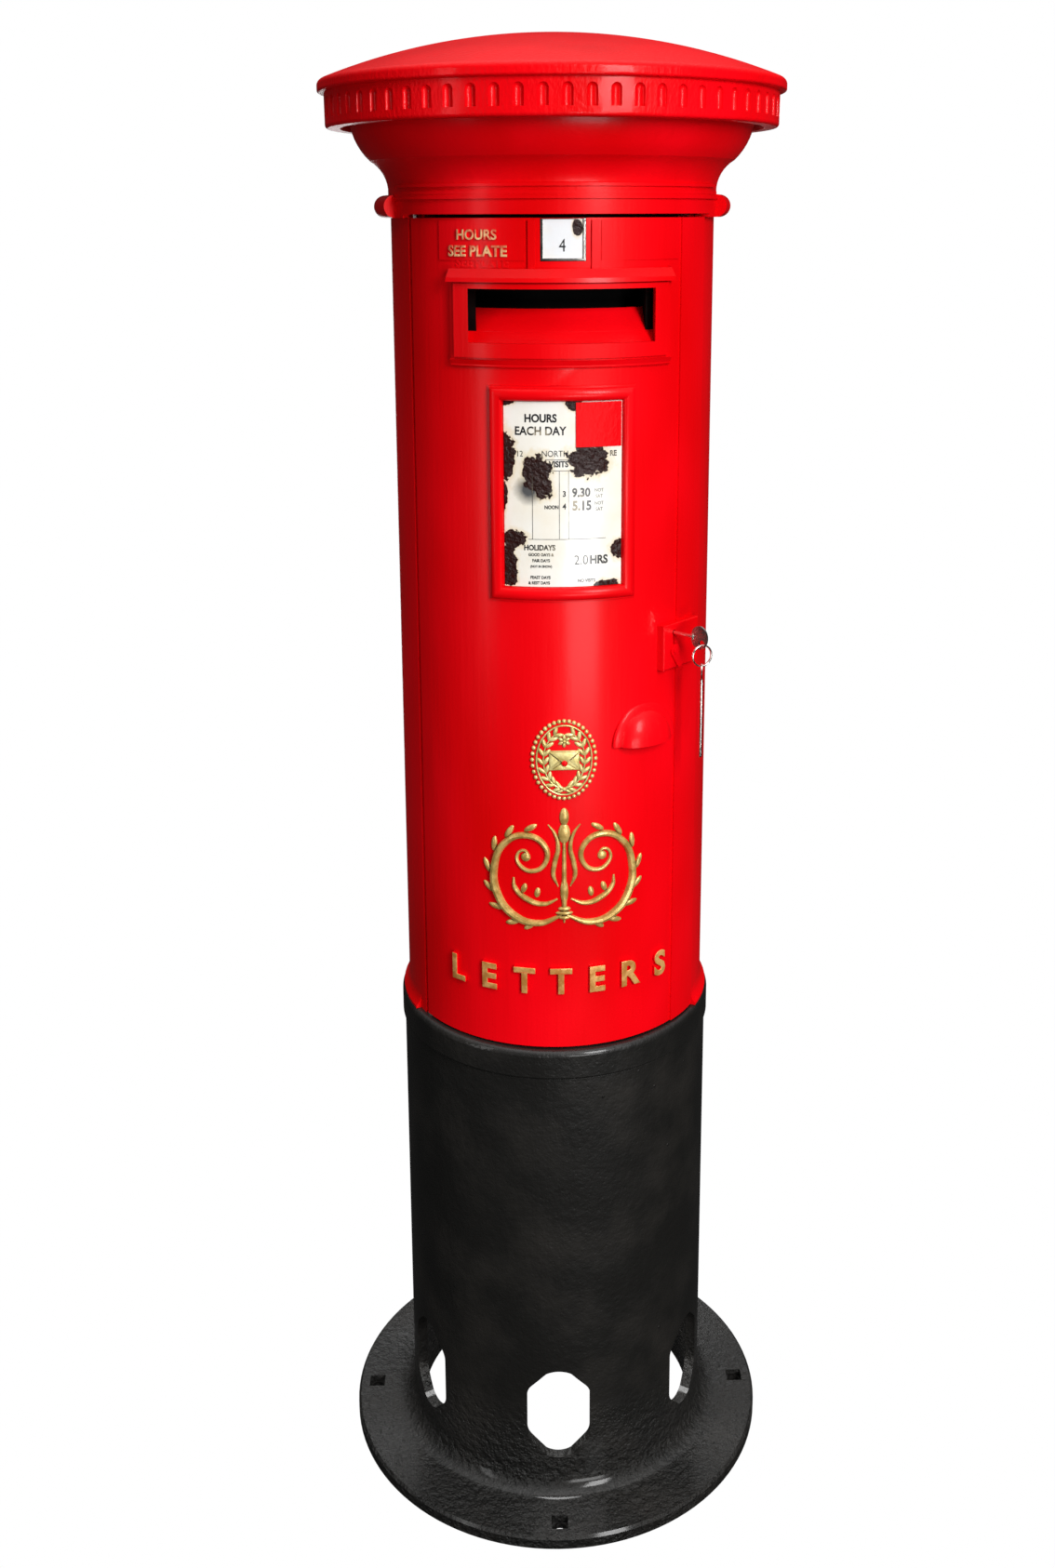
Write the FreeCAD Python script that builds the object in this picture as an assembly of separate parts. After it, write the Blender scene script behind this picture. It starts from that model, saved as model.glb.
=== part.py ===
import FreeCAD
import Part
import math
import os

from FreeCAD import Vector

# Street pillar letter box: a cast-iron post with a root that is set in the ground.
# Row frame: millimetres, +Z up, origin at the centre of the root flange's underside.
# The door faces -Y. An azimuth is an angle about Z, 0 at the door's centre line (-Y)
# and positive towards +X.

# ---- driving dimensions -------------------------------------------------------------
BODY_R = 241.3            # outside of the 19 inch body
BODY_WALL = 14.0
BODY_IN_R = BODY_R - BODY_WALL

FLANGE_R = 349.0          # root flange
FLANGE_T = 23.0
ROOT_R = 249.5            # root cylinder
ROOT_IN_R = 233.0
ROOT_FILLET = 30.0
ROOT_TOP = 762.0
ROOT_TWIST = -2.5         # the root's windows and bolt holes sit a little off the door's centre
BOLT_CIRCLE_R = 317.5     # holding-down bolts
BOLT_HOLE_R = 12.0
BOLT_SQUARE = 26.0        # square recess for the neck of a square-necked bolt
BOLT_RECESS_FLOOR = 10.0
WINDOWS = 6               # keying windows that the concrete runs through
WINDOW_HALF_W = 50.5
WINDOW_Z = (82.0, 243.0)
WINDOW_CORNER_R = 24.0

INNER_FLANGE_R = 195.0    # inside edge of every internal flange
FLANGE_SEAT_T = 18.0
RIM_R = 253.0             # plinth ring
PLINTH_TOP = 808.0
TIE_BOLT_R = 8.0
TIE_BOLT_CIRCLE_R = 211.0
TIE_BOLTS = 6

SILL_T = 20.0
FOOT_R = 250.0            # foot flare of the carcase
FOOT_TOP = 834.0
LEDGE_TOP = 850.0         # ledge that carries the mail floor
HEAD_Z = 2050.0           # underside of the head over the door
BEAD_R = 265.6
NECK_TOP = 2190.0
NECK_TOP_R = 299.0
FASCIA_HALF = 68.5        # the bead is cut back to a flat fascia over the door
FASCIA_R = 249.5

CAP_R = 343.7
CAP_APEX = 2305.0
CAP_DOME_R = 911.0
CAP_SKIN = 14.0
CAP_LIP_Z = 2240.0
BAND_R = 334.0
BAND_BOTTOM = 2172.0
SKIRT_IN_R = 312.0
FLUTES = 66
FLUTE_R = 7.5
FLUTE_OUT = 1.5           # the scoop's axis stands this far off the band
CAP_BOLT_CIRCLE_R = 273.0
CAP_BOLT_R = 6.0

DOOR_HALF = 60.6          # azimuth of the door's closing edge
DOOR_Z = (811.0, 2045.0)
PIVOT_R = BODY_R - BODY_WALL / 2
PIVOT_AZ = -59.5
HEEL_R = BODY_WALL / 2
OPENING = (-61.6, 61.0)   # azimuths of the carcase's door opening
JAMB = (57.0, 66.0)       # rebate ribs behind both edges of the door
JAMB_IN_R = 207.0
JAMB_FACE_R = 225.5
PIN_R = 4.5
PIN_CLEARANCE = 0.06
PIN_IN_DOOR = 30.0
PIN_OUT = 20.0

APERTURE_HALF_W = 130.4   # posting aperture
APERTURE_Z = (1876.0, 1950.0)
SILL_SLOPE_Z = 1921.0     # top of the sloping sill
SILL_INNER_R = 198.0
THROAT_HALF_W = 119.0
CHUTE_R = 160.0
SHEET = 3.0

TABLET_HALF_AZ = 7.5      # number tablet at the top of the door
TABLET_Z = 1988.0
NOTICE_HALF_AZ = 20.3     # notice plate
NOTICE_Z = (1531.5, 1796.5)
NOTICE_FRAME_W = 22.0
NOTICE_FRAME_PROUD = 9.0

LOCK_AZ = 45.5            # flat lock pad
PAD_Y = -251.0
PAD_HALF_W = 42.0
PAD_Z = (1393.0, 1461.0)
KEY_X = -18.0
KEY_Z = 1447.5
SHANK_R = 3.0
KEYHOLE_R = 4.0
CASE_X = (-42.0, 30.0)
CASE_Y = (-222.5, -200.5)
CASE_Z = (1385.0, 1472.0)
CASE_WALL = 3.0
BIT_REACH = 14.5
BOLT_Z = (1398.0, 1416.0)
BOLT_Y = (-216.0, -206.0)

COVER_Z = 1421.0          # pivot of the keyhole cover
PULL_AZ = 30.3            # hooded door pull
PULL_Z = 1287.0

RING_R = 15.5             # key ring, centre line
RING_WIRE = 1.2
RING_TURN = -24.0         # the ring hangs turned a little towards the front
BOW_HOLE = (-302.0, 1439.5)   # hole in the bow of the key: local y, z
SPARE_TURN = 30.0         # the spare key's bow, turned from the ring's own plane

GUARD_R = 200.0           # wire letter guard behind the door
GUARD_HALF = 52.0
GUARD_Z = (862.0, 1330.0)
GUARD_POST_R = 4.0

CREST_Z = (1210.0, 1336.0)    # ornaments on the door
SCROLL_Z = (1008.0, 1200.0)
LETTER_Z = (901.0, 943.0)
LETTER_PROUD = 5.5
WORD_AZ = -1.2            # the word sits a little off the centre line
WORD = "LETTERS"
Z_AXIS = Vector(0, 0, 1)
ORIGIN = Vector(0, 0, 0)


# ---- helpers ------------------------------------------------------------------------
def turned(shape, azimuth):
    """A copy of a shape modelled at azimuth 0, turned to an azimuth."""
    made = shape.copy()
    made.rotate(ORIGIN, Z_AXIS, azimuth)
    return made


def point_at(radius, azimuth, z):
    """The point at a radius, an azimuth and a height."""
    a = math.radians(azimuth)
    return Vector(radius * math.sin(a), -radius * math.cos(a), z)


def ring(r_in, r_out, z0, z1, az0=-180.0, az1=180.0):
    """A ring, or a sector of one between two azimuths."""
    sweep = az1 - az0
    outer = Part.makeCylinder(r_out, z1 - z0, Vector(0, 0, z0), Z_AXIS, sweep)
    inner = Part.makeCylinder(r_in, z1 - z0 + 2, Vector(0, 0, z0 - 1), Z_AXIS, 360)
    made = outer.cut(inner)
    made.rotate(ORIGIN, Z_AXIS, az0 - 90)
    return made


def block(x, y, z):
    """A box between two limits on each axis."""
    return Part.makeBox(x[1] - x[0], y[1] - y[0], z[1] - z[0], Vector(x[0], y[0], z[0]))


def rod(radius, start, end):
    """A round bar between two points."""
    run = end - start
    return Part.makeCylinder(radius, run.Length, start, run)


def outline(start, steps, to_vector):
    """A face from a start point and steps: a point is a line, a pair of points an arc."""
    edges, here = [], start
    for step in steps:
        if isinstance(step[0], tuple):
            mid, end = step
            arc = Part.Arc(to_vector(here), to_vector(mid), to_vector(end))
            edges.append(arc.toShape())
        else:
            end = step
            edges.append(Part.makeLine(to_vector(here), to_vector(end)))
        here = end
    if here != start:
        edges.append(Part.makeLine(to_vector(here), to_vector(start)))
    return Part.Face(Part.Wire(edges))


def revolved(start, *steps, az0=-180.0, az1=180.0):
    """A solid turned about Z from a profile of (radius, height) points."""
    face = outline(start, steps, lambda p: Vector(p[0], 0, p[1]))
    made = face.revolve(ORIGIN, Z_AXIS, az1 - az0)
    made.rotate(ORIGIN, Z_AXIS, az0 - 90)
    return made


def prism(start, steps, y0, y1):
    """A solid pushed along Y from an outline of (x, z) points."""
    face = outline(start, steps, lambda p: Vector(p[0], y0, p[1]))
    return face.extrude(Vector(0, y1 - y0, 0))


def hexagon(radius, z0, z1, centre):
    """A hexagonal head or nut on a vertical axis."""
    wire = Part.makePolygon([
        centre + Vector(radius * math.cos(math.radians(a)), radius * math.sin(math.radians(a)), z0)
        for a in range(0, 361, 60)
    ])
    return Part.Face(wire).extrude(Vector(0, 0, z1 - z0))


def ellipsoid(half_x, half_y, half_z, centre):
    """The upper half of an ellipsoid."""
    ball = Part.makeSphere(1.0, ORIGIN, Z_AXIS, 0, 90, 360)
    grow = FreeCAD.Matrix()
    grow.scale(half_x, half_y, half_z)
    made = ball.transformGeometry(grow)
    made.translate(centre)
    return made


def fused(shapes):
    """One solid from touching shapes."""
    first, rest = shapes[0], shapes[1:]
    return first.fuse(rest).removeSplitter() if rest else first


def without(shape, tools):
    """A shape with tools cut out of it."""
    return shape.cut(tools) if isinstance(tools, list) else shape.cut([tools])


def around(shape, count, first=0.0):
    """Copies of a shape spaced evenly about Z."""
    return [turned(shape, first + 360.0 * i / count) for i in range(count)]


PIVOT = point_at(PIVOT_R, PIVOT_AZ, 0)


# ---- root, plinth ring and carcase --------------------------------------------------
def root_window():
    """One keying window, cut through the front wall of the root."""
    low, high = WINDOW_Z
    side, shoulder, crown = 36.0, 31.0, 20.0
    steps = [
        (-WINDOW_HALF_W, high - side), (-crown, high - 5),
        ((0, high), (crown, high - 5)),
        (WINDOW_HALF_W, high - side), (WINDOW_HALF_W, low + side),
        (crown, low + side - shoulder),
        ((0, low), (-crown, low + side - shoulder)),
    ]
    made = prism((-WINDOW_HALF_W, low + side), steps, -ROOT_R - 40, -ROOT_IN_R + 25)
    corners = [e for e in made.Edges if abs(abs(e.CenterOfMass.x) - WINDOW_HALF_W) < 0.01
               and abs(e.Vertexes[0].Z - e.Vertexes[-1].Z) < 0.01]
    return made.makeFillet(WINDOW_CORNER_R, corners)


def root_casting():
    """The part below ground: flange, cylinder and the internal flange at its top."""
    curve = ROOT_FILLET * (1 - math.sqrt(0.5))
    body = revolved(
        (ROOT_IN_R, 0), (FLANGE_R - 3, 0), (FLANGE_R, 3), (FLANGE_R, FLANGE_T - 4),
        (FLANGE_R - 4, FLANGE_T), (ROOT_R + ROOT_FILLET, FLANGE_T),
        ((ROOT_R + curve, FLANGE_T + curve), (ROOT_R, FLANGE_T + ROOT_FILLET)),
        (ROOT_R, ROOT_TOP - 2), (ROOT_R - 2, ROOT_TOP), (INNER_FLANGE_R, ROOT_TOP),
        (INNER_FLANGE_R, ROOT_TOP - FLANGE_SEAT_T), (ROOT_IN_R - 5, ROOT_TOP - FLANGE_SEAT_T),
        (ROOT_IN_R, ROOT_TOP - FLANGE_SEAT_T - 8),
    )
    half = BOLT_SQUARE / 2
    square = block((-half, half), (-BOLT_CIRCLE_R - half, -BOLT_CIRCLE_R + half),
                   (BOLT_RECESS_FLOOR, FLANGE_T + 5))
    drilled = rod(BOLT_HOLE_R, Vector(0, -BOLT_CIRCLE_R, -1), Vector(0, -BOLT_CIRCLE_R, 12))
    cuts = around(root_window(), WINDOWS, ROOT_TWIST)
    cuts += around(square, 4, ROOT_TWIST) + around(drilled, 4, ROOT_TWIST)
    return without(body, cuts + tie_holes(ROOT_TOP - 60, ROOT_TOP + 5))


def tie_holes(z0, z1):
    """Clearance holes for the tie bolts between two heights."""
    one = rod(TIE_BOLT_R + 0.6, point_at(TIE_BOLT_CIRCLE_R, 0, z0), point_at(TIE_BOLT_CIRCLE_R, 0, z1))
    return around(one, TIE_BOLTS, 30)


def plinth_ring():
    """The black rim that the carcase stands on, with the door's lower pivot hole."""
    body = revolved(
        (INNER_FLANGE_R, ROOT_TOP), (RIM_R - 2, ROOT_TOP), (RIM_R, ROOT_TOP + 3),
        (RIM_R, PLINTH_TOP - 9), ((RIM_R - 2.7, PLINTH_TOP - 2.7), (RIM_R - 9, PLINTH_TOP)),
        (INNER_FLANGE_R, PLINTH_TOP),
    )
    pivot_hole = rod(PIN_R + PIN_CLEARANCE, PIVOT + Vector(0, 0, DOOR_Z[0] - PIN_OUT - 1),
                     PIVOT + Vector(0, 0, PLINTH_TOP + 5))
    return without(body, tie_holes(ROOT_TOP - 5, PLINTH_TOP + 5) + [pivot_hole])


def tie_bolts():
    """Six bolts that clamp root, plinth ring and carcase together."""
    at = point_at(TIE_BOLT_CIRCLE_R, 0, 0)
    low, high = ROOT_TOP - FLANGE_SEAT_T, PLINTH_TOP + SILL_T
    shank = rod(TIE_BOLT_R, at + Vector(0, 0, low - 18), at + Vector(0, 0, high))
    head = hexagon(13.0, high, high + 10, at)
    nut = hexagon(13.0, low - 14, low, at)
    return Part.makeCompound(around(fused([shank, head, nut]), TIE_BOLTS, 30))


def neck_profile():
    """Wall and neck of the carcase: foot flare, bead, cavetto and ovolo."""
    return revolved(
        (BODY_IN_R, PLINTH_TOP), (FOOT_R, PLINTH_TOP), (FOOT_R, PLINTH_TOP + 4),
        ((BODY_R + 2.4, PLINTH_TOP + 13), (BODY_R, FOOT_TOP)),
        (BODY_R, HEAD_Z - 4), (BODY_R + 4, HEAD_Z - 4.5),
        ((BEAD_R, HEAD_Z + 11), (BODY_R + 5, HEAD_Z + 27)),
        (BODY_R + 3, HEAD_Z + 28), (BODY_R + 3, HEAD_Z + 37),
        ((BODY_R + 10.2, HEAD_Z + 58.5), (BODY_R + 28.7, HEAD_Z + 76.5)),
        ((BODY_R + 46.2, HEAD_Z + 99), (NECK_TOP_R - 1.4, HEAD_Z + 126)),
        (NECK_TOP_R, NECK_TOP), (262, NECK_TOP), (262, NECK_TOP - 12), (284, NECK_TOP - 12),
        (284, NECK_TOP - 20), (272, NECK_TOP - 42), (254, NECK_TOP - 68), (234, NECK_TOP - 92),
        (BODY_IN_R, NECK_TOP - 108),
    )


def fascia_reeds():
    """Horizontal reeds on the flat fascia over the door."""
    return [
        ring(BODY_R - 4, BODY_R + proud, HEAD_Z + z0, HEAD_Z + z1, -FASCIA_HALF, FASCIA_HALF)
        for proud, z0, z1 in ((12.0, 20.5, 24.0), (9.0, 27.0, 31.0), (7.2, 37.0, 41.0))
    ]


def cap_bolt_holes(z0, z1):
    """Clearance holes for the cap bolts between two heights."""
    one = rod(CAP_BOLT_R + 0.5, point_at(CAP_BOLT_CIRCLE_R, 0, z0), point_at(CAP_BOLT_CIRCLE_R, 0, z1))
    return around(one, 4, 45)


def carcase():
    """The main casting: wall, neck, rebate ribs, sill flange and floor ledge."""
    sides = ring(INNER_FLANGE_R, BODY_IN_R + 5, PLINTH_TOP, PLINTH_TOP + SILL_T)
    ledge = ring(214, BODY_IN_R + 5, LEDGE_TOP - 8, LEDGE_TOP, JAMB[1] - 2, 360 - JAMB[1] + 2)
    shell = without(neck_profile(), [
        ring(BODY_IN_R - 2, FOOT_R + 20, PLINTH_TOP - 1, HEAD_Z, *OPENING),
        ring(FASCIA_R, BEAD_R + 5, HEAD_Z - 6, HEAD_Z + 28, -FASCIA_HALF, FASCIA_HALF),
        ring(BODY_R, FOOT_R + 2, PLINTH_TOP - 1, FOOT_TOP + 1, -66.0, OPENING[0] + 1),
    ])
    sides = without(sides, ring(BODY_IN_R - 2, BODY_R, PLINTH_TOP - 1, PLINTH_TOP + 40, *OPENING))
    ribs = []
    for sign in (-1, 1):
        az = sorted((sign * JAMB[0], sign * JAMB[1]))
        root = sorted((sign * 62.0, sign * JAMB[1]))
        ribs.append(ring(JAMB_IN_R, JAMB_FACE_R, PLINTH_TOP + 2, HEAD_Z + 30, *az))
        ribs.append(ring(JAMB_IN_R, BODY_IN_R + 5, PLINTH_TOP + 2, HEAD_Z + 30, *root))
    made = fused([shell, sides, ledge] + ribs + fascia_reeds())
    pivot_hole = rod(PIN_R + PIN_CLEARANCE, PIVOT + Vector(0, 0, HEAD_Z - 5),
                     PIVOT + Vector(0, 0, DOOR_Z[1] + PIN_OUT + 1))
    guard_holes = [rod(GUARD_POST_R + 0.4, point_at(GUARD_R, az, PLINTH_TOP + 3),
                       point_at(GUARD_R, az, PLINTH_TOP + 40)) for az in (-GUARD_HALF, GUARD_HALF)]
    keep_pocket = turned(block((34, 62), (-219, -203), (BOLT_Z[0] - 3, BOLT_Z[1] + 3)), LOCK_AZ)
    keep_screw_holes = [rod(2.55, s, e) for s, e in keep_screw_ends(9.0)]
    cuts = [pivot_hole, keep_pocket] + guard_holes + keep_screw_holes
    return without(made, cuts + tie_holes(PLINTH_TOP - 5, PLINTH_TOP + 40)
                   + cap_bolt_holes(NECK_TOP - 20, NECK_TOP + 5))


# ---- cap ----------------------------------------------------------------------------
def cap_casting():
    """Domed cap with a fluted band, and its seat ring and bolting flange inside."""
    centre = CAP_APEX - CAP_DOME_R
    inner = CAP_DOME_R - CAP_SKIN

    def height(radius, r):
        return centre + math.sqrt(radius ** 2 - r ** 2)

    rim = CAP_R - 5.7
    body = revolved(
        (0, CAP_APEX), ((rim / 2, height(CAP_DOME_R, rim / 2)), (rim, CAP_LIP_Z)),
        ((CAP_R - 1.2, CAP_LIP_Z - 4), (CAP_R, CAP_LIP_Z - 9)), (CAP_R, CAP_LIP_Z - 14),
        ((CAP_R - 1, CAP_LIP_Z - 17), (CAP_R - 4, CAP_LIP_Z - 18)), (BAND_R, CAP_LIP_Z - 19),
        (BAND_R - 0.5, BAND_BOTTOM + 5), ((BAND_R - 2, BAND_BOTTOM + 1.5), (BAND_R - 5.5, BAND_BOTTOM)),
        (SKIRT_IN_R, BAND_BOTTOM), (SKIRT_IN_R + 1, height(inner, SKIRT_IN_R)),
        (NECK_TOP_R + 1, height(inner, NECK_TOP_R)), (NECK_TOP_R + 1, NECK_TOP), (262, NECK_TOP),
        (262, NECK_TOP + 12), (286, NECK_TOP + 12), (286, height(inner, 286)),
        ((143, height(inner, 143)), (0, height(inner, 0))),
    )
    foot = Vector(0, -BAND_R - FLUTE_OUT, BAND_BOTTOM + 13)
    crown = Vector(0, -BAND_R - FLUTE_OUT, CAP_LIP_Z - 25.5 - FLUTE_R)
    flute = rod(FLUTE_R, foot, crown).fuse(Part.makeSphere(FLUTE_R, crown))
    return without(body, around(flute, FLUTES) + cap_bolt_holes(NECK_TOP - 5, NECK_TOP + 20))


def cap_bolts():
    """Four bolts that hold the cap down, put in from inside the neck."""
    at = point_at(CAP_BOLT_CIRCLE_R, 0, 0)
    shank = rod(CAP_BOLT_R, at + Vector(0, 0, NECK_TOP - 12), at + Vector(0, 0, NECK_TOP + 26))
    head = hexagon(9.5, NECK_TOP - 20, NECK_TOP - 12, at)
    nut = hexagon(9.5, NECK_TOP + 12, NECK_TOP + 22, at)
    return Part.makeCompound(around(fused([shank, head, nut]), 4, 45))


# ---- door ---------------------------------------------------------------------------
def door_relief():
    """Everything cast on the outside of the door except the lock pad and the pull."""
    inside = BODY_R - 6
    low, high = APERTURE_Z
    steps = [
        ring(inside, BODY_R + 5, low - 32, high + 10, -39, 39),
        ring(inside, BODY_R + 10, low - 20, high + 7, -36.8, 36.8),
        revolved((inside, high + 9), (BODY_R + 15, high + 9), (BODY_R + 13.5, high + 15),
                 (BODY_R + 6, high + 27), (inside, high + 27), az0=-39, az1=39),
        revolved((inside, low - 34), (BODY_R + 3, low - 34), (BODY_R + 8, low - 24),
                 (inside, low - 20), az0=-39, az1=39),
    ]
    pads = [ring(inside, BODY_R + 1.5, TABLET_Z, DOOR_Z[1] - 3, *sorted((s * 12.5, s * 44.0)))
            for s in (-1, 1)]
    ribs = [ring(inside, BODY_R + 3.5, TABLET_Z - 12, DOOR_Z[1] - 3, *sorted((s * 9.2, s * 11.4)))
            for s in (-1, 1)]
    strip = ring(inside, BODY_R + 2.2, DOOR_Z[0], DOOR_Z[1], 45.0, DOOR_HALF)
    return steps + pads + ribs + [strip]


def door_pull():
    """Hooded finger pull: a rim and a dome with a hollow under it."""
    foot = Vector(0, -BODY_R + 2, PULL_Z)
    keep = ring(BODY_R - 6, BODY_R + 60, PULL_Z - 1, PULL_Z + 80, -30, 30)
    rim = ellipsoid(56, 9, 60, foot).common(keep)
    dome = ellipsoid(47, 26, 51, foot).common(keep)
    room = ring(BODY_R - 3, BODY_R + 60, PULL_Z - 1, PULL_Z + 80, -30, 30)
    hollow = ellipsoid(41, 20, 45, foot).common(room)
    return turned(rim, PULL_AZ), turned(dome, PULL_AZ), turned(hollow, PULL_AZ)


def lock_pad():
    """Flat pad that carries the keyhole."""
    pad = block((-PAD_HALF_W, PAD_HALF_W), (PAD_Y, -232), PAD_Z)
    front = [e for e in pad.Edges if abs(e.CenterOfMass.y - PAD_Y) < 0.01]
    return turned(pad.makeFillet(2.0, front), LOCK_AZ)


def keyhole(y0, y1):
    """Round hole with the slot for the bit under it."""
    hole = rod(KEYHOLE_R, Vector(KEY_X, y0, KEY_Z), Vector(KEY_X, y1, KEY_Z))
    slot = block((KEY_X - 2.3, KEY_X + 2.3), (y0, y1), (KEY_Z - BIT_REACH - 3, KEY_Z))
    return turned(hole.fuse(slot), LOCK_AZ)


def aperture_cut():
    """The posting aperture, with a sill that slopes up and inwards."""
    low, high = APERTURE_Z
    slope = (SILL_SLOPE_Z - low) / (BODY_R - SILL_INNER_R)
    tool = revolved((BODY_R + 30, low), (BODY_R + 30, high), (BODY_IN_R - 15, high),
                    (BODY_IN_R - 15, low + slope * (BODY_WALL + 15)), (BODY_R, low), az0=-60, az1=60)
    return tool.common(block((-APERTURE_HALF_W, APERTURE_HALF_W), (-300, 0), (low - 5, high + 5)))


def boss_points():
    """Local (x, z) of the four lock fixing bosses."""
    return [(x, z) for x in (CASE_X[0] + 6, CASE_X[1] - 6) for z in (CASE_Z[0] + 6, CASE_Z[1] - 6)]


def chute_points():
    """(azimuth, z) of the four chute fixing screws."""
    return [(az, z) for az in (-36.5, 36.5) for z in (APERTURE_Z[0] - 14, APERTURE_Z[1] + 5)]


def stud_points():
    """(azimuth, z) of the four studs behind the notice frame."""
    edge = NOTICE_HALF_AZ + 2.4
    return [(az, z) for az in (-edge, edge) for z in (NOTICE_Z[0] + 30, NOTICE_Z[1] - 30)]


def radial_rod(radius, azimuth, z, r0, r1):
    """A round bar along a radius."""
    return rod(radius, point_at(r0, azimuth, z), point_at(r1, azimuth, z))


def door_casting():
    """Curved door with a rounded hanging edge, its relief, aperture and recesses."""
    skin = ring(BODY_IN_R, BODY_R, DOOR_Z[0], DOOR_Z[1], PIVOT_AZ, DOOR_HALF)
    heel = rod(HEEL_R, PIVOT + Vector(0, 0, DOOR_Z[0]), PIVOT + Vector(0, 0, DOOR_Z[1]))
    bosses = [rod(6, Vector(x, -232, z), Vector(x, CASE_Y[0], z)) for x, z in boss_points()]
    bosses = [turned(b, LOCK_AZ) for b in bosses]
    rim, dome, hollow = door_pull()
    made = fused([skin, heel, rim, dome, lock_pad()] + door_relief() + bosses)
    cuts = [
        hollow, aperture_cut(), keyhole(-260, -215),
        ring(BODY_R - 8.5, BODY_R + 10, TABLET_Z - 1, DOOR_Z[1] + 1, -TABLET_HALF_AZ, TABLET_HALF_AZ),
        ring(BODY_R - 2.6, BODY_R + 10, NOTICE_Z[0], NOTICE_Z[1], -NOTICE_HALF_AZ, NOTICE_HALF_AZ),
    ]
    for x, z in boss_points():
        cuts.append(turned(rod(2.55, Vector(x, -231, z), Vector(x, -200, z)), LOCK_AZ))
    cuts.append(turned(rod(2.5, Vector(KEY_X, PAD_Y - 1, COVER_Z), Vector(KEY_X, PAD_Y + 8, COVER_Z)), LOCK_AZ))
    for az, z in chute_points():
        cuts.append(radial_rod(2.55, az, z, BODY_IN_R - 3, BODY_IN_R + 9))
    for az, z in stud_points():
        cuts.append(radial_rod(2.6, az, z, BODY_IN_R - 3, BODY_R + 3))
    for z0, z1 in ((DOOR_Z[0] - 1, DOOR_Z[0] + PIN_IN_DOOR), (DOOR_Z[1] - PIN_IN_DOOR, DOOR_Z[1] + 1)):
        cuts.append(rod(PIN_R, PIVOT + Vector(0, 0, z0), PIVOT + Vector(0, 0, z1)))
    return without(made, cuts)


def hinge_pin(z_in, z_out):
    """One pivot pin, pressed in the door's heel and running in the frame."""
    return rod(PIN_R, PIVOT + Vector(0, 0, min(z_in, z_out)), PIVOT + Vector(0, 0, max(z_in, z_out)))


def thrust_washer():
    """Washer that the door's weight runs on."""
    foot = PIVOT + Vector(0, 0, PLINTH_TOP)
    thick = DOOR_Z[0] - PLINTH_TOP - 0.05
    outer = rod(7.8, foot, foot + Vector(0, 0, thick))
    return outer.cut(rod(PIN_R + 0.1, foot - Vector(0, 0, 1), foot + Vector(0, 0, thick + 1)))


# ---- aperture, chute and notices ----------------------------------------------------
def aperture_sill():
    """Sloping rain sill behind the aperture."""
    low = APERTURE_Z[0]
    slope = (SILL_SLOPE_Z - low) / (BODY_R - SILL_INNER_R)
    r_front = BODY_IN_R - 0.3
    z_front = low + slope * (BODY_R - r_front)
    plate = revolved((r_front, z_front), (SILL_INNER_R, SILL_SLOPE_Z), (SILL_INNER_R, SILL_SLOPE_Z - 5),
                     (r_front - 3, z_front - 3), (r_front - 3, low - 22), (r_front, low - 22),
                     az0=-45, az1=45)
    made = plate.common(block((-THROAT_HALF_W + 0.3, THROAT_HALF_W - 0.3), (-260, 0), (low - 30, 2000)))
    return made


def letter_chute():
    """Sheet-metal chute that turns letters down and keeps hands out."""
    low, high = APERTURE_Z
    r_face = BODY_IN_R - 0.3
    half = THROAT_HALF_W
    bottom = low - 46
    cheeks = []
    for x in ((-half - SHEET, -half), (half, half + SHEET)):
        cheek = block(x, (-260, -90), (bottom, high + SHEET))
        cheeks.append(cheek.common(ring(CHUTE_R, r_face, bottom, high + SHEET)))
    trim = block((-half - SHEET, half + SHEET), (-260, -60), (bottom - 5, high + 30))
    back = ring(CHUTE_R, CHUTE_R + SHEET, bottom, high + SHEET, -60, 60).common(trim)
    roof = ring(CHUTE_R, r_face, high, high + SHEET, -60, 60).common(trim)
    flanges = [ring(r_face - SHEET, r_face, bottom, high + 12, *sorted((s * 30.5, s * 39.0))) for s in (-1, 1)]
    flanges = [f.cut(block((-half, half), (-260, 0), (bottom - 5, high + 30))) for f in flanges]
    made = fused([back, roof] + cheeks + flanges)
    return without(made, [radial_rod(2.7, az, z, r_face - 10, r_face + 3) for az, z in chute_points()])


def chute_screws():
    """Four screws that hold the chute to the door."""
    r_face = BODY_IN_R - 0.4 - SHEET
    screws = []
    for az, z in chute_points():
        shank = radial_rod(2.5, az, z, r_face, BODY_IN_R + 8)
        screws.append(fused([shank, radial_rod(5.0, az, z, r_face - 3, r_face)]))
    return Part.makeCompound(screws)


def notice_frame():
    """Mitred half-round frame round the notice plate."""
    az = NOTICE_HALF_AZ + math.degrees(NOTICE_FRAME_W / BODY_R) - 0.2
    z0, z1 = NOTICE_Z[0] - NOTICE_FRAME_W + 1, NOTICE_Z[1] + NOTICE_FRAME_W - 1
    base = BODY_R + 0.05
    plate = ring(base, BODY_R + 4, z0, z1, -az, az)
    bead_az = az - 1.0
    bead = ring(base, BODY_R + NOTICE_FRAME_PROUD, z0 + 4, z1 - 4, -bead_az, bead_az)
    bead = bead.makeFillet(3.5, [e for e in bead.Edges if is_outer_rim(e, BODY_R + NOTICE_FRAME_PROUD)])
    hole = ring(BODY_R - 5, BODY_R + 30, NOTICE_Z[0] + 1.5, NOTICE_Z[1] - 1.5,
                -NOTICE_HALF_AZ + 0.4, NOTICE_HALF_AZ - 0.4)
    made = without(fused([plate, bead]), hole)
    return without(made, [radial_rod(2.5, a, z, BODY_R - 5, BODY_R + 3) for a, z in stud_points()])


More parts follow.
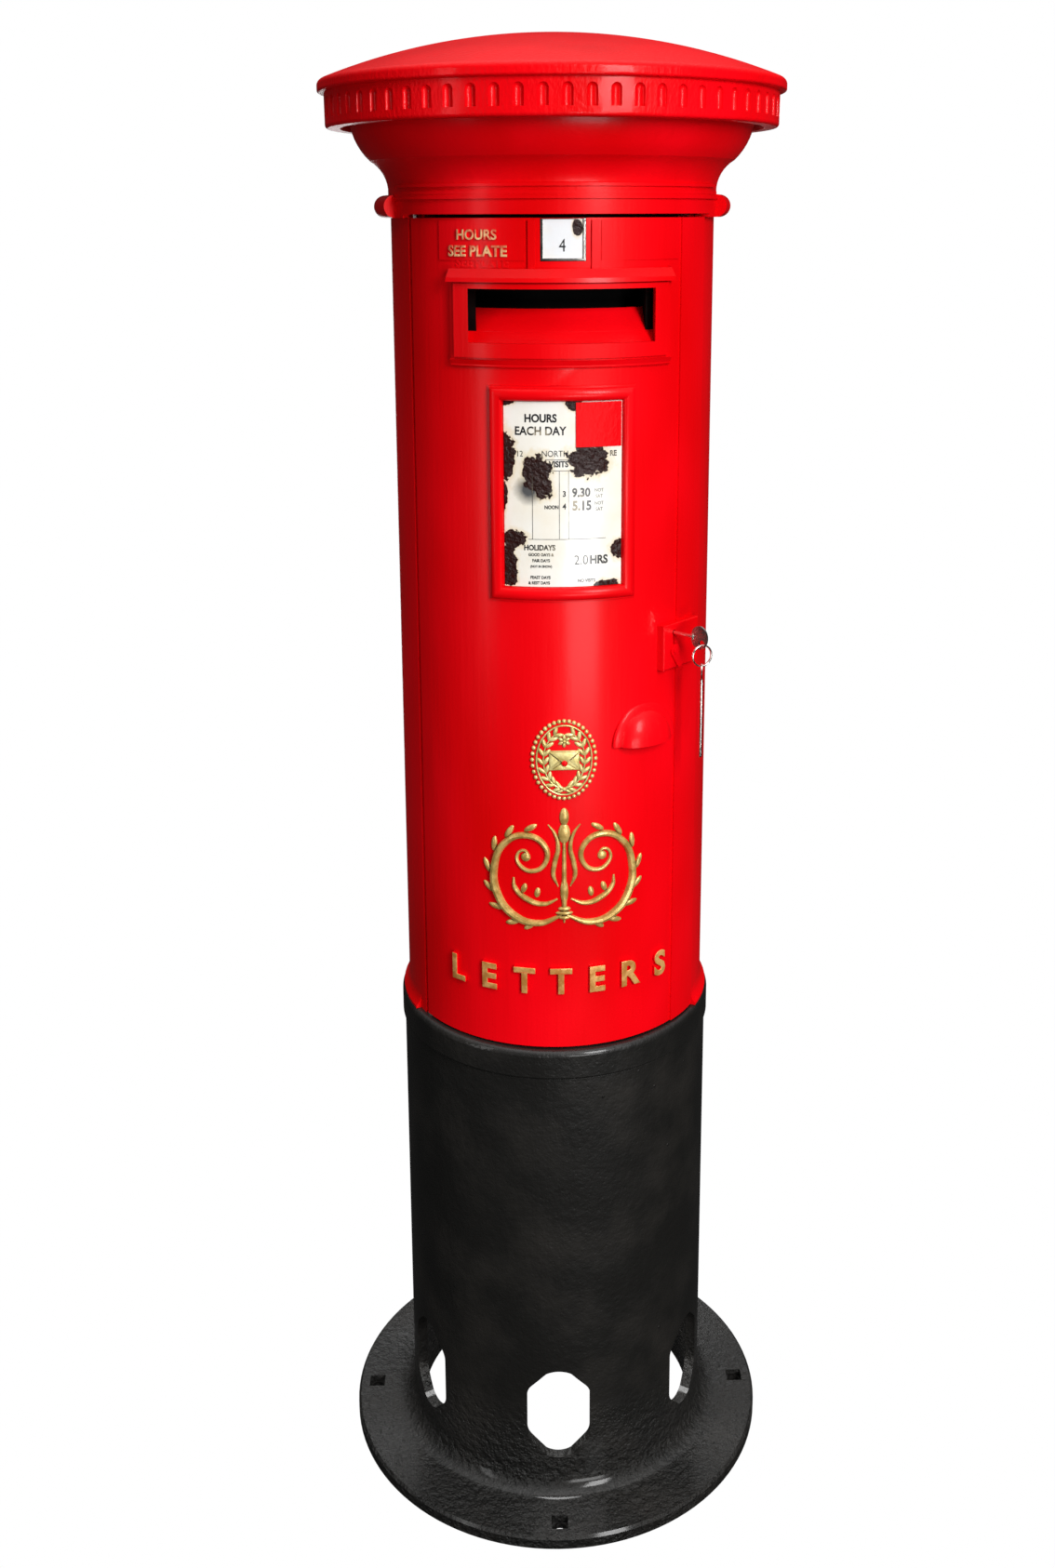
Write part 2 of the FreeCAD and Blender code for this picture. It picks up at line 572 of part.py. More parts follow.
def is_outer_rim(edge, radius):
    """True for the edges of a sector that lie on its outer face."""
    return all(abs(math.hypot(v.X, v.Y) - radius) < 0.05 for v in edge.Vertexes)


def frame_studs():
    """Four studs with nuts that hold the notice frame from inside."""
    studs = []
    for az, z in stud_points():
        shank = radial_rod(2.5, az, z, BODY_IN_R - 8, BODY_R + 3)
        nut = radial_rod(4.5, az, z, BODY_IN_R - 4.2, BODY_IN_R - 0.2)
        studs.append(fused([shank, nut]))
    return Part.makeCompound(studs)


def notice_plate():
    """Curved enamelled notice plate."""
    return ring(BODY_R - 2.5, BODY_R - 0.2, NOTICE_Z[0] + 0.5, NOTICE_Z[1] - 0.5,
                -NOTICE_HALF_AZ + 0.15, NOTICE_HALF_AZ - 0.15)


def blank_tablet():
    """Small red blank in the upper right corner of the notice plate."""
    return ring(BODY_R - 0.15, BODY_R + 1.6, 1732, NOTICE_Z[1] - 1.6, 4.1, NOTICE_HALF_AZ - 0.45)


def tablet_tray():
    """Steel tray that holds the number tablet."""
    body = ring(BODY_R - 8.3, BODY_R - 0.5, TABLET_Z, DOOR_Z[1] - 1,
                -TABLET_HALF_AZ + 0.15, TABLET_HALF_AZ - 0.15)
    recess = ring(BODY_R - 6.5, BODY_R + 5, TABLET_Z + 2.5, DOOR_Z[1] + 1,
                  -TABLET_HALF_AZ + 0.75, TABLET_HALF_AZ - 0.75)
    return body.cut(recess)


def number_tablet():
    """Enamelled number tablet."""
    return ring(BODY_R - 6.4, BODY_R - 4.2, TABLET_Z + 2.8, DOOR_Z[1] - 2, -TABLET_HALF_AZ + 0.85,
                TABLET_HALF_AZ - 0.85)


# ---- lock ---------------------------------------------------------------------------
def lock_case():
    """Open lock case with a keyhole, a bolt slot and four screw tubes."""
    inside = tuple((a + CASE_WALL, b - CASE_WALL) for a, b in (CASE_X, CASE_Z))
    body = block(CASE_X, CASE_Y, CASE_Z)
    hollow = block(inside[0], (CASE_Y[0] + CASE_WALL, CASE_Y[1] + 1), inside[1])
    shell = body.cut(hollow)
    tubes = [rod(5, Vector(x, CASE_Y[0], z), Vector(x, CASE_Y[1], z)) for x, z in boss_points()]
    pivot = rod(3, Vector(20, CASE_Y[0] + 1, 1440), Vector(20, CASE_Y[1], 1440))
    slot = block((CASE_X[1] - 5, CASE_X[1] + 5), (BOLT_Y[0] - 0.2, BOLT_Y[1] + 0.2),
                 (BOLT_Z[0] - 0.2, BOLT_Z[1] + 0.2))
    holes = [rod(2.7, Vector(x, -260, z), Vector(x, -180, z)) for x, z in boss_points()]
    made = turned(without(fused([shell, pivot] + tubes), [slot] + holes), LOCK_AZ)
    return made.cut(keyhole(CASE_Y[0] - 5, CASE_Y[0] + CASE_WALL + 0.5))


def lock_cover():
    """Cover plate of the lock."""
    plate = block(CASE_X, (CASE_Y[1], CASE_Y[1] + 2.5), CASE_Z)
    holes = [rod(2.7, Vector(x, -260, z), Vector(x, -180, z)) for x, z in boss_points()]
    return turned(without(plate, holes), LOCK_AZ)


def lock_screws():
    """Four screws through cover and case into the door's bosses."""
    screws = []
    for x, z in boss_points():
        head = rod(4.5, Vector(x, CASE_Y[1] + 2.5, z), Vector(x, CASE_Y[1] + 5.5, z))
        screws.append(fused([head, rod(2.5, Vector(x, -230, z), Vector(x, CASE_Y[1] + 2.5, z))]))
    return turned(Part.makeCompound(screws), LOCK_AZ)


def lock_bolt():
    """Dead bolt: a head that shoots out of the case, and a thinner tail."""
    head = block((8, CASE_X[1] + 1.0), BOLT_Y, BOLT_Z)
    tail = block((-22, 8), (BOLT_Y[0] + 2, BOLT_Y[1] - 3), (BOLT_Z[0] + 3, BOLT_Z[1] - 2))
    return turned(fused([head, tail]), LOCK_AZ)


def levers():
    """Five pivoted levers, a separate solid each."""
    made = []
    for i in range(5):
        y0 = CASE_Y[0] + CASE_WALL + 1.0 + i * 3.0
        steps = [(2, 1434), (2, 1446), (14, 1449), (26, 1449), (26, 1431), (14, 1431)]
        plate = prism((2, 1434), steps[1:], y0, y0 + 2.0)
        made.append(plate.cut(rod(3.2, Vector(20, y0 - 1, 1440), Vector(20, y0 + 3, 1440))))
    return turned(Part.makeCompound(made), LOCK_AZ)


def lever_springs():
    """A leaf spring over each lever."""
    made = []
    for i in range(5):
        y0 = CASE_Y[0] + CASE_WALL + 1.3 + i * 3.0
        made.append(block((4, CASE_X[1] - CASE_WALL), (y0, y0 + 1.4), (1450.5, 1451.3)))
    return turned(Part.makeCompound(made), LOCK_AZ)


def lock_keep():
    """Steel keep on the frame that the bolt shoots into."""
    z0, z1 = BOLT_Z[0] - 16, BOLT_Z[1] + 16
    plate = ring(JAMB_IN_R, JAMB_FACE_R, z0, z1, JAMB[0] - 0.8, JAMB[0] - 0.02)
    window = turned(block((34, 62), (-217, -205), (BOLT_Z[0] - 1, BOLT_Z[1] + 1)), LOCK_AZ)
    return without(plate, [window] + [rod(2.6, s, e) for s, e in keep_screw_ends(9.0)])


def keep_screw_ends(depth):
    """Start and end of each keep screw, square to the keep."""
    a = math.radians(JAMB[0])
    along = Vector(math.cos(a), math.sin(a), 0)
    ends = []
    for z in (BOLT_Z[0] - 10, BOLT_Z[1] + 10):
        face = point_at((JAMB_IN_R + JAMB_FACE_R) / 2, JAMB[0], z)
        ends.append((face - along * 4.5, face + along * depth))
    return ends


def keep_screws():
    """Two screws of the keep, with their heads on its face."""
    screws = []
    for start, end in keep_screw_ends(8.0):
        along = (end - start) / (end - start).Length
        face = start + along * 1.2
        screws.append(fused([rod(2.5, face, end), rod(4.5, face - along * 2.0, face)]))
    return Part.makeCompound(screws)


def lock_key():
    """The key in the lock: oval bow with a ring hole, shank and bit."""
    shank = rod(SHANK_R, Vector(KEY_X, -284, KEY_Z), Vector(KEY_X, CASE_Y[0] + CASE_WALL + 15, KEY_Z))
    bit = block((KEY_X - 1.6, KEY_X + 1.6), (CASE_Y[0] + CASE_WALL + 1.5, CASE_Y[0] + CASE_WALL + 14),
                (KEY_Z - BIT_REACH, KEY_Z))
    collar = rod(4.2, Vector(KEY_X, -286, KEY_Z), Vector(KEY_X, -281, KEY_Z))
    bow = Part.Face(Part.Wire(Part.Ellipse(Vector(0, 0, 0), 17.5, 14.5).toShape()))
    bow = bow.extrude(Vector(0, 0, 2.6))
    bow.rotate(ORIGIN, Vector(0, 1, 0), 90)
    bow.translate(Vector(KEY_X - 1.3, -297, KEY_Z))
    hole = rod(5.0, Vector(KEY_X - 5, BOW_HOLE[0], BOW_HOLE[1]), Vector(KEY_X + 5, BOW_HOLE[0], BOW_HOLE[1]))
    return turned(fused([shank, bit, collar, bow.cut(hole)]), LOCK_AZ)


def ring_top():
    """Local point where the key ring hangs in the bow."""
    return Vector(KEY_X, BOW_HOLE[0], BOW_HOLE[1] - 2.8)


def hung(shape, turn):
    """Turns a shape about the vertical through the ring's top, then to the lock."""
    made = shape.copy()
    made.rotate(ring_top(), Z_AXIS, turn)
    return turned(made, LOCK_AZ)


def key_ring():
    """Split ring: two coils of wire side by side."""
    centre = ring_top() - Vector(0, 0, RING_R)
    coils = [Part.makeTorus(RING_R, RING_WIRE, centre + Vector(0, dy, 0), Vector(0, 1, 0))
             for dy in (-0.8, 0.8)]
    return hung(fused(coils), RING_TURN)


def spare_key():
    """Spare key hanging on the ring: oval bow and a long plain shank."""
    top = ring_top() - Vector(0, 0, 2 * RING_R)
    bow = Part.Face(Part.Wire(Part.Ellipse(Vector(0, 0, 0), 12.6, 12.4).toShape())).extrude(Vector(0, 0, 2.2))
    bow.rotate(ORIGIN, Vector(0, 1, 0), 90)
    bow.translate(top + Vector(-1.1, 0, -8.5))
    hole = rod(4.6, top + Vector(-5, 0, -2.4), top + Vector(5, 0, -2.4))
    low = top - Vector(0, 0, 20.4)
    shank = rod(2.6, low - Vector(0, 0, 116.5), low)
    tip = Part.makeCone(1.6, 2.6, 3, low - Vector(0, 0, 119.5))
    made = fused([bow.cut(hole), shank, tip])
    made.rotate(top, Z_AXIS, -SPARE_TURN)
    return hung(made, RING_TURN)


def keyhole_cover():
    """Pear-shaped swing cover, turned down off the keyhole."""
    y0, y1 = PAD_Y - 3.2, PAD_Y - 0.2
    big = rod(9.5, Vector(KEY_X, y0, COVER_Z), Vector(KEY_X, y1, COVER_Z))
    tip = rod(8.0, Vector(KEY_X, y0, COVER_Z - 23), Vector(KEY_X, y1, COVER_Z - 23))
    web = prism((KEY_X - 9.3, COVER_Z - 2), [(KEY_X + 9.3, COVER_Z - 2), (KEY_X + 7.8, COVER_Z - 24),
                                              (KEY_X - 7.8, COVER_Z - 24)], y0, y1)
    made = fused([big, tip, web]).cut(rod(2.56, Vector(KEY_X, y0 - 1, COVER_Z), Vector(KEY_X, y1 + 1, COVER_Z)))
    made.rotate(Vector(KEY_X, 0, COVER_Z), Vector(0, 1, 0), -32)
    return turned(made, LOCK_AZ)


def cover_pivot():
    """Shouldered pivot screw of the keyhole cover."""
    shank = rod(2.5, Vector(KEY_X, PAD_Y - 3.4, COVER_Z), Vector(KEY_X, PAD_Y + 8, COVER_Z))
    head = rod(5.0, Vector(KEY_X, PAD_Y - 5.0, COVER_Z), Vector(KEY_X, PAD_Y - 3.4, COVER_Z))
    return turned(fused([shank, head]), LOCK_AZ)


# ---- inside -------------------------------------------------------------------------
def mail_floor():
    """Steel floor with drain holes, on the carcase's ledge."""
    disc = rod(222, Vector(0, 0, LEDGE_TOP), Vector(0, 0, LEDGE_TOP + 4))
    notches = [ring(JAMB_IN_R - 3, 240, LEDGE_TOP - 5, LEDGE_TOP + 10, *sorted((s * 55.0, s * 68.0)))
               for s in (-1, 1)]
    drains = around(rod(8, Vector(0, -110, LEDGE_TOP - 5), Vector(0, -110, LEDGE_TOP + 10)), 6)
    posts = [rod(GUARD_POST_R + 1.0, point_at(GUARD_R, az, LEDGE_TOP - 5),
                 point_at(GUARD_R, az, LEDGE_TOP + 10)) for az in (-GUARD_HALF, GUARD_HALF)]
    return without(disc, notches + drains + posts)


def wire_guard():
    """Curved wire guard that keeps the mail in when the door opens."""
    parts = []
    for az in (-GUARD_HALF, GUARD_HALF):
        foot, top = point_at(GUARD_R, az, PLINTH_TOP + 5), point_at(GUARD_R, az, GUARD_Z[1])
        parts.append(rod(GUARD_POST_R, foot, top))
    hoops = 4
    for i in range(hoops):
        z = GUARD_Z[0] + (GUARD_Z[1] - 6 - GUARD_Z[0]) * i / (hoops - 1)
        hoop = Part.makeTorus(GUARD_R, 3.0, Vector(0, 0, z), Z_AXIS, -180, 180, 2 * GUARD_HALF)
        hoop.rotate(ORIGIN, Z_AXIS, -GUARD_HALF - 90)
        parts.append(hoop)
    bars = 12
    for i in range(1, bars):
        az = -GUARD_HALF + 2 * GUARD_HALF * i / bars
        parts.append(rod(2.2, point_at(GUARD_R, az, GUARD_Z[0]), point_at(GUARD_R, az, GUARD_Z[1] - 6)))
    return fused(parts)


# ---- ornaments ----------------------------------------------------------------------
def crest_ornament():
    """Oval crest above the scrolls."""
    mid = (CREST_Z[0] + CREST_Z[1]) / 2
    oval = Part.Ellipse(Vector(0, 0, 0), (CREST_Z[1] - CREST_Z[0]) / 2, 50).toShape()
    body = Part.Face(Part.Wire(oval)).extrude(Vector(0, 0, 60))
    body.rotate(ORIGIN, Z_AXIS, 90)
    body.rotate(ORIGIN, Vector(1, 0, 0), 90)
    body.translate(Vector(0, -BODY_R + 20, mid))
    return body.common(ring(BODY_R + 0.05, BODY_R + 7, CREST_Z[0] - 5, CREST_Z[1] + 5, -20, 20))


def scroll_ornament():
    """Plain band that stands in for the leafy scrolls."""
    low, high = SCROLL_Z
    band = ring(BODY_R + 0.05, BODY_R + 5, low, high, -27.5, 27.5)
    return band.cut(ring(BODY_R - 5, BODY_R + 30, low + 40, high - 40, -18, 18))


def letter_strokes(letter):
    """Strokes of a letter on a unit box, each (x0, x1, z0, z1)."""
    t = 0.26
    left, top, mid, foot = (0, t, 0, 1), (0, 1, 0.83, 1), (0, 0.85, 0.42, 0.58), (0, 1, 0, 0.17)
    stem = (0.5 - t / 2, 0.5 + t / 2, 0, 1)
    return {
        "L": [left, foot], "E": [left, top, mid, foot], "T": [top, stem],
        "R": [left, top, mid, (1 - t, 1, 0.5, 1), (1 - t, 1, 0, 0.44)],
        "S": [top, (0, t, 0.5, 1), (0, 1, 0.42, 0.58), (1 - t, 1, 0, 0.5), foot],
    }[letter]


def raised_letters():
    """The word along the bottom of the door, one solid for each letter."""
    low, high = LETTER_Z
    pitch, width = 13.0, 29.0
    made = []
    for i, letter in enumerate(WORD):
        az = WORD_AZ + (i - (len(WORD) - 1) / 2) * pitch
        strokes = [block((-width / 2 + width * x0, -width / 2 + width * x1), (-270, -215),
                         (low + (high - low) * z0, low + (high - low) * z1))
                   for x0, x1, z0, z1 in letter_strokes(letter)]
        shell = ring(BODY_R + 0.05, BODY_R + LETTER_PROUD, low - 5, high + 5, -12, 12)
        made.append(turned(fused(strokes).common(shell), az))
    return Part.makeCompound(made)


# ---- export -------------------------------------------------------------------------
PARTS = {
    "root_casting": root_casting,
    "plinth_ring": plinth_ring,
    "tie_bolts": tie_bolts,
    "carcase": carcase,
    "cap_casting": cap_casting,
    "cap_bolts": cap_bolts,
    "door_casting": door_casting,
    "upper_hinge_pin": lambda: hinge_pin(DOOR_Z[1] - PIN_IN_DOOR, DOOR_Z[1] + PIN_OUT),
    "lower_hinge_pin": lambda: hinge_pin(DOOR_Z[0] + PIN_IN_DOOR, DOOR_Z[0] - PIN_OUT),
    "thrust_washer": thrust_washer,
    "aperture_sill": aperture_sill,
    "letter_chute": letter_chute,
    "chute_screws": chute_screws,
    "notice_frame": notice_frame,
    "frame_studs": frame_studs,
    "notice_plate": notice_plate,
    "blank_tablet": blank_tablet,
    "tablet_tray": tablet_tray,
    "number_tablet": number_tablet,
    "lock_case": lock_case,
    "lock_cover": lock_cover,
    "lock_screws": lock_screws,
    "lock_bolt": lock_bolt,
    "levers": levers,
    "lever_springs": lever_springs,
    "lock_keep": lock_keep,
    "keep_screws": keep_screws,
    "lock_key": lock_key,
    "key_ring": key_ring,
    "spare_key": spare_key,
    "keyhole_cover": keyhole_cover,
    "cover_pivot": cover_pivot,
    "mail_floor": mail_floor,
    "wire_guard": wire_guard,
    "crest_ornament": crest_ornament,
    "scroll_ornament": scroll_ornament,
    "raised_letters": raised_letters,
}


def main():
    """Builds every part, checks it and writes its STEP file."""
    os.makedirs("parts", exist_ok=True)
    for name, make in PARTS.items():
        shape = make()
        solids = shape.Solids
        if not solids or not shape.isValid() or any(s.Volume <= 0 for s in solids):
            print("PROBLEM", name, len(solids), shape.isValid())
        print(f"{name}: {len(solids)} solid(s), {sum(s.Volume for s in solids) / 1000:.1f} cm3")
        (solids[0] if len(solids) == 1 else Part.makeCompound(solids)).exportStep(f"parts/{name}.step")


main()
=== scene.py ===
"""Looks of a cast-iron pillar letter box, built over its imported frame.

The frame gives every CAD node at its place in metres, with +Z up and the door facing -Y. This
script dresses those nodes with procedural finishes and adds the fine pieces: the gilded crest,
the scrollwork, the raised words, the notice plate's print and moulded frame, and the tablet's
numeral.
"""

import logging
import math
from dataclasses import dataclass, field
from enum import Enum

import bmesh
import bpy
from mathutils import Matrix, Vector

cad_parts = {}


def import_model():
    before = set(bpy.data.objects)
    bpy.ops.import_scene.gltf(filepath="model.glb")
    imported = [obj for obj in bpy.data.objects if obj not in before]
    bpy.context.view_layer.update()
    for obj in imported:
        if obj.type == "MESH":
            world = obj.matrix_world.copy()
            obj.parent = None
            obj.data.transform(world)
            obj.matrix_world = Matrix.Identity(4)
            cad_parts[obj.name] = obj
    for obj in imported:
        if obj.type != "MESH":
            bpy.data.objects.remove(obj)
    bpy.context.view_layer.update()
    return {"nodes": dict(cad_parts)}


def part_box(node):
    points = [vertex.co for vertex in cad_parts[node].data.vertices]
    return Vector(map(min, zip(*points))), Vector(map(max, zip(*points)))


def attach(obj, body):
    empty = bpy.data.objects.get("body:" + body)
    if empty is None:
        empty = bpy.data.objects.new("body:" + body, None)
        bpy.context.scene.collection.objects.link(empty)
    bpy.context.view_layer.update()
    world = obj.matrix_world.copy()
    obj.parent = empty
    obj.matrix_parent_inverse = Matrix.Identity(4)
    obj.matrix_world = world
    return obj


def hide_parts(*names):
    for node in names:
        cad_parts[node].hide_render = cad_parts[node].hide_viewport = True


MM = 0.001
PLATE_RECESS = 0.2 * MM      # the door's face stands this far outside the notice plate's
PRINT_GAP = 0.03 * MM        # clearance of print over its enamel
PRINT_THICK = 0.24 * MM
NUMERAL_THICK = 0.3 * MM
SLICE = 12 * MM              # longest flat run of a design that is bent round the post
MOULDING_SLICE = 8 * MM
CAMERA_SENSOR = 36.0         # width in millimetres
LOG = logging.getLogger("letter_box")

Colour = tuple[float, float, float]
Triple = tuple[float, float, float]
Socket = bpy.types.NodeSocket


class Weight(Enum):
    """Extra thickness of a line's strokes, as a share of its height."""

    BOLD = 0.034
    PLAIN = 0.022
    BARE = 0.0
    LIGHT = -0.004
    LIGHTEST = -0.006


# ---- finishes -----------------------------------------------------------------------
class Recipe:
    """A material being mixed from nodes."""

    def __init__(self, name: str) -> None:
        """Starts a material with its shader.

        Args:
            name: The material's name.
        """
        self.material = bpy.data.materials.new(name)
        self.material.use_nodes = True
        self.tree = self.material.node_tree
        self.shader = self.tree.nodes["Principled BSDF"]

    def add(self, kind: str, inputs: dict, **settings: object) -> bpy.types.Node:
        """Adds a node, sets its options and fills or links its inputs.

        Args:
            kind: The node's type.
            inputs: Socket name or number to a value or another node's socket.
            **settings: The node's own options.

        Returns:
            The new node.
        """
        node = self.tree.nodes.new(kind)
        for name, value in settings.items():
            setattr(node, name, value)
        for key, value in inputs.items():
            if isinstance(value, Socket):
                self.tree.links.new(value, node.inputs[key])
            else:
                node.inputs[key].default_value = value
        return node

    def place(self, stretch: Triple = (1, 1, 1), centre: Triple = (0, 0, 0)) -> Socket:
        """Gives the object's own coordinates, stretched about a centre.

        Args:
            stretch: Factor on each axis.
            centre: The point that becomes the origin, in metres.

        Returns:
            A vector socket.
        """
        coords = self.add("ShaderNodeTexCoord", {})
        shift = tuple(-c * s for c, s in zip(centre, stretch))
        return self.add("ShaderNodeMapping", {"Vector": coords.outputs["Object"], "Location": shift,
                                              "Scale": stretch}).outputs[0]

    def noise(self, scale: float, stretch: Triple = (1, 1, 1), detail: float = 3.0,
              rough: float = 0.55) -> Socket:
        """Gives cloudy noise from 0 to 1.

        Args:
            scale: Features for each metre.
            stretch: Factor on each axis.
            detail: Octaves.
            rough: Strength of the finer octaves.

        Returns:
            A value socket.
        """
        return self.add("ShaderNodeTexNoise", {"Vector": self.place(stretch), "Scale": scale,
                                               "Detail": detail, "Roughness": rough}).outputs[0]

    def cells(self, scale: float) -> Socket:
        """Gives the distance to the nearest of scattered points.

        Args:
            scale: Points for each metre.

        Returns:
            A value socket.
        """
        cells = self.add("ShaderNodeTexVoronoi", {"Vector": self.place(), "Scale": scale})
        return cells.outputs["Distance"]

    def number(self, operation: str, first: object, second: object = 0.0) -> Socket:
        """Does arithmetic on two values.

        Args:
            operation: The arithmetic.
            first: A value or a value socket.
            second: A value or a value socket.

        Returns:
            A value socket.
        """
        return self.add("ShaderNodeMath", {0: first, 1: second}, operation=operation).outputs[0]

    def remap(self, value: Socket, low: float, high: float, to_low: float = 0.0,
              to_high: float = 1.0) -> Socket:
        """Stretches a range of a value to another range, and holds it at the ends.

        Args:
            value: The value.
            low: Where the range starts.
            high: Where the range ends.
            to_low: What the start becomes.
            to_high: What the end becomes.

        Returns:
            A value socket.
        """
        return self.add("ShaderNodeMapRange", {0: value, 1: low, 2: high, 3: to_low, 4: to_high}).outputs[0]

    def blend(self, amount: Socket, first: object, second: object) -> Socket:
        """Mixes two colours.

        Args:
            amount: 0 for the first and 1 for the second.
            first: A colour or a colour socket.
            second: A colour or a colour socket.

        Returns:
            A colour socket.
        """
        first, second = ((*c, 1.0) if isinstance(c, tuple) else c for c in (first, second))
        return self.add("ShaderNodeMix", {0: amount, 6: first, 7: second}, data_type="RGBA").outputs[2]

    def bump(self, height: Socket, depth: float, under: Socket | None = None) -> Socket:
        """Raises the surface by a height map.

        Args:
            height: Height from 0 to 1.
            depth: Depth of the whole range, in metres.
            under: A coarser bump that this one goes over.

        Returns:
            A normal socket.
        """
        inputs = {"Height": height, "Distance": depth, "Strength": 1.0}
        if under is not None:
            inputs["Normal"] = under
        return self.add("ShaderNodeBump", inputs).outputs[0]

    def finish(self, uniform: dict, **linked: Socket) -> bpy.types.Material:
        """Sets the shader's plain values and links its mapped ones.

        Args:
            uniform: Shader socket name to a plain value.
            **linked: Shader socket name, with _ for a space, to a socket.

        Returns:
            The finished material.
        """
        for name, value in uniform.items():
            self.shader.inputs[name].default_value = value
        for name, socket in linked.items():
            self.tree.links.new(socket, self.shader.inputs[name.replace("_", " ")])
        return self.material


@dataclass(frozen=True)
class GlossPaint:
    """Thick gloss paint brushed over cast iron, with sags, brush marks and wear."""

    name: str
    deep: Colour
    bright: Colour
    rough: tuple[float, float] = (0.3, 0.42)
    brush_depth: float = 0.0003
    sag_depth: float = 0.0014
    peel_depth: float = 0.00014
    peel_scale: float = 380.0
    wear: Colour = (0.16, 0.004, 0.004)
    coat: float = 0.14
    coat_rough: float = 0.2

    def mix(self) -> bpy.types.Material:
        """Mixes the paint.

        Returns:
            The material.
        """
        r = Recipe(self.name)
        cloud = r.noise(5.0, (1, 1, 0.5), 2.0)
        body = r.blend(r.remap(cloud, 0.32, 0.68), self.deep, self.bright)
        streak = r.noise(110.0, (1, 1, 0.06), 2.0)
        body = r.blend(r.remap(streak, 0.55, 0.8, 0.0, 0.22), body, self.deep)
        speck = r.cells(34.0)
        patch = r.noise(14.0, (1, 1, 1), 4.0)
        chip = r.number("MULTIPLY", r.remap(speck, 0.05, 0.02), r.remap(patch, 0.6, 0.64))
        body = r.blend(chip, body, self.wear)
        sag = r.bump(r.noise(16.0, (1, 1, 0.3), 1.0, 0.4), self.sag_depth)
        brush = r.bump(r.noise(150.0, (1, 1, 0.05), 2.0), self.brush_depth, sag)
        peel = r.bump(r.noise(self.peel_scale, (1, 1, 0.6), 2.0), self.peel_depth, brush)
        uniform = {"Coat Weight": self.coat, "Coat Roughness": self.coat_rough, "Specular IOR Level": 0.08}
        return r.finish(uniform, Base_Color=body, Roughness=r.remap(cloud, 0.3, 0.7, *self.rough),
                        Normal=peel)


@dataclass(frozen=True)
class FoundryBlack:
    """Black gloss over rough sand-cast iron, lumpiest near the ground."""

    name: str = "foundry_black"
    tone: Colour = (0.0080, 0.0076, 0.0068)
    dusty: Colour = (0.022, 0.019, 0.016)
    rough_below: float = 0.13

    def mix(self) -> bpy.types.Material:
        """Mixes the paint.

        Returns:
            The material.
        """
        r = Recipe(self.name)
        height = r.add("ShaderNodeSeparateXYZ", {0: r.place()}).outputs[2]
        low = r.remap(height, self.rough_below + 0.05, self.rough_below - 0.06, 0.12, 1.0)
        cloud = r.noise(9.0, (1, 1, 1), 4.0)
        lumps = r.noise(85.0, (1, 1, 1), 4.0, 0.6)
        pits = r.remap(r.cells(120.0), 0.0, 0.32)
        broad = r.bump(r.noise(16.0, (1, 1, 0.5), 3.0), 0.0022)
        rugged = r.bump(r.number("MULTIPLY", lumps, low), 0.012, broad)
        pitted = r.bump(r.number("MULTIPLY", pits, low), 0.0026, rugged)
        seams = r.number("MULTIPLY", r.remap(r.cells(17.0), 0.045, 0.02), r.remap(cloud, 0.5, 0.56))
        scarred = r.bump(seams, 0.0022, pitted)
        peel = r.bump(r.noise(300.0, (1, 1, 0.4), 2.0), 0.00022, scarred)
        body = r.blend(r.remap(cloud, 0.45, 0.75, 0.0, 0.55), self.tone, self.dusty)
        uniform = {"Coat Weight": 0.35, "Coat Roughness": 0.12, "Specular IOR Level": 0.3}
        return r.finish(uniform, Base_Color=body, Roughness=r.remap(cloud, 0.35, 0.7, 0.42, 0.58),
                        Normal=peel)


@dataclass(frozen=True)
class GoldPaint:
    """Hand-laid metallic gold paint, with painted shade darkening its recesses."""

    name: str
    light: Colour
    dark: Colour
    # dark brown of the painted shade in recesses and creases
    shade_tone: Colour = (0.12, 0.045, 0.010)
    reach: float = 0.0045
    metal: float = 0.35

    def mix(self) -> bpy.types.Material:
        """Mixes the paint.

        Returns:
            The material.
        """
        r = Recipe(self.name)
        cloud = r.noise(70.0, (1, 1, 1), 3.0)
        body = r.blend(r.remap(cloud, 0.4, 0.62), self.dark, self.light)
        # painted shade: ambient occlusion darkens the gold towards a dark brown in recesses and creases
        occlusion_shade = r.add("ShaderNodeAmbientOcclusion", {"Distance": self.reach}, samples=8, only_local=True)
        body = r.blend(r.remap(occlusion_shade.outputs["AO"], 0.35, 0.85), self.shade_tone, body)
        grain = r.bump(r.noise(300.0, (1, 1, 0.6), 2.0), 0.00035)
        uniform = {"Metallic": self.metal, "Coat Weight": 0.2, "Coat Roughness": 0.15}
        return r.finish(uniform, Base_Color=body, Roughness=r.remap(cloud, 0.3, 0.7, 0.28, 0.42),
                        Normal=grain)


@dataclass(frozen=True)
class ShadeBlack:
    """Near-black matt paint on the chute inside the letter slot, painted shade for the dark inside of the
    box.
    """

    name: str = "painted_shade_black"

    def mix(self) -> bpy.types.Material:
        """Mixes the paint.

        Returns:
            The material.
        """
        r = Recipe(self.name)
        dust = r.noise(30.0, (1, 1, 1), 4.0)
        # painted shade: the chute is near black so the slot reads as the dark inside of the box; the noise
        # adds dust
        body = r.blend(r.remap(dust, 0.45, 0.8), (0.0022, 0.0022, 0.0022), (0.006, 0.005, 0.0045))
        return r.finish({"Specular IOR Level": 0.05}, Base_Color=body,
                        Roughness=r.remap(dust, 0.3, 0.7, 0.75, 0.95), Normal=r.bump(dust, 0.0003))


@dataclass(frozen=True)
class Chip:
    """A patch where enamel has flaked off: centre and half sizes, in millimetres."""

    x: float
    z: float
    half_x: float
    half_z: float


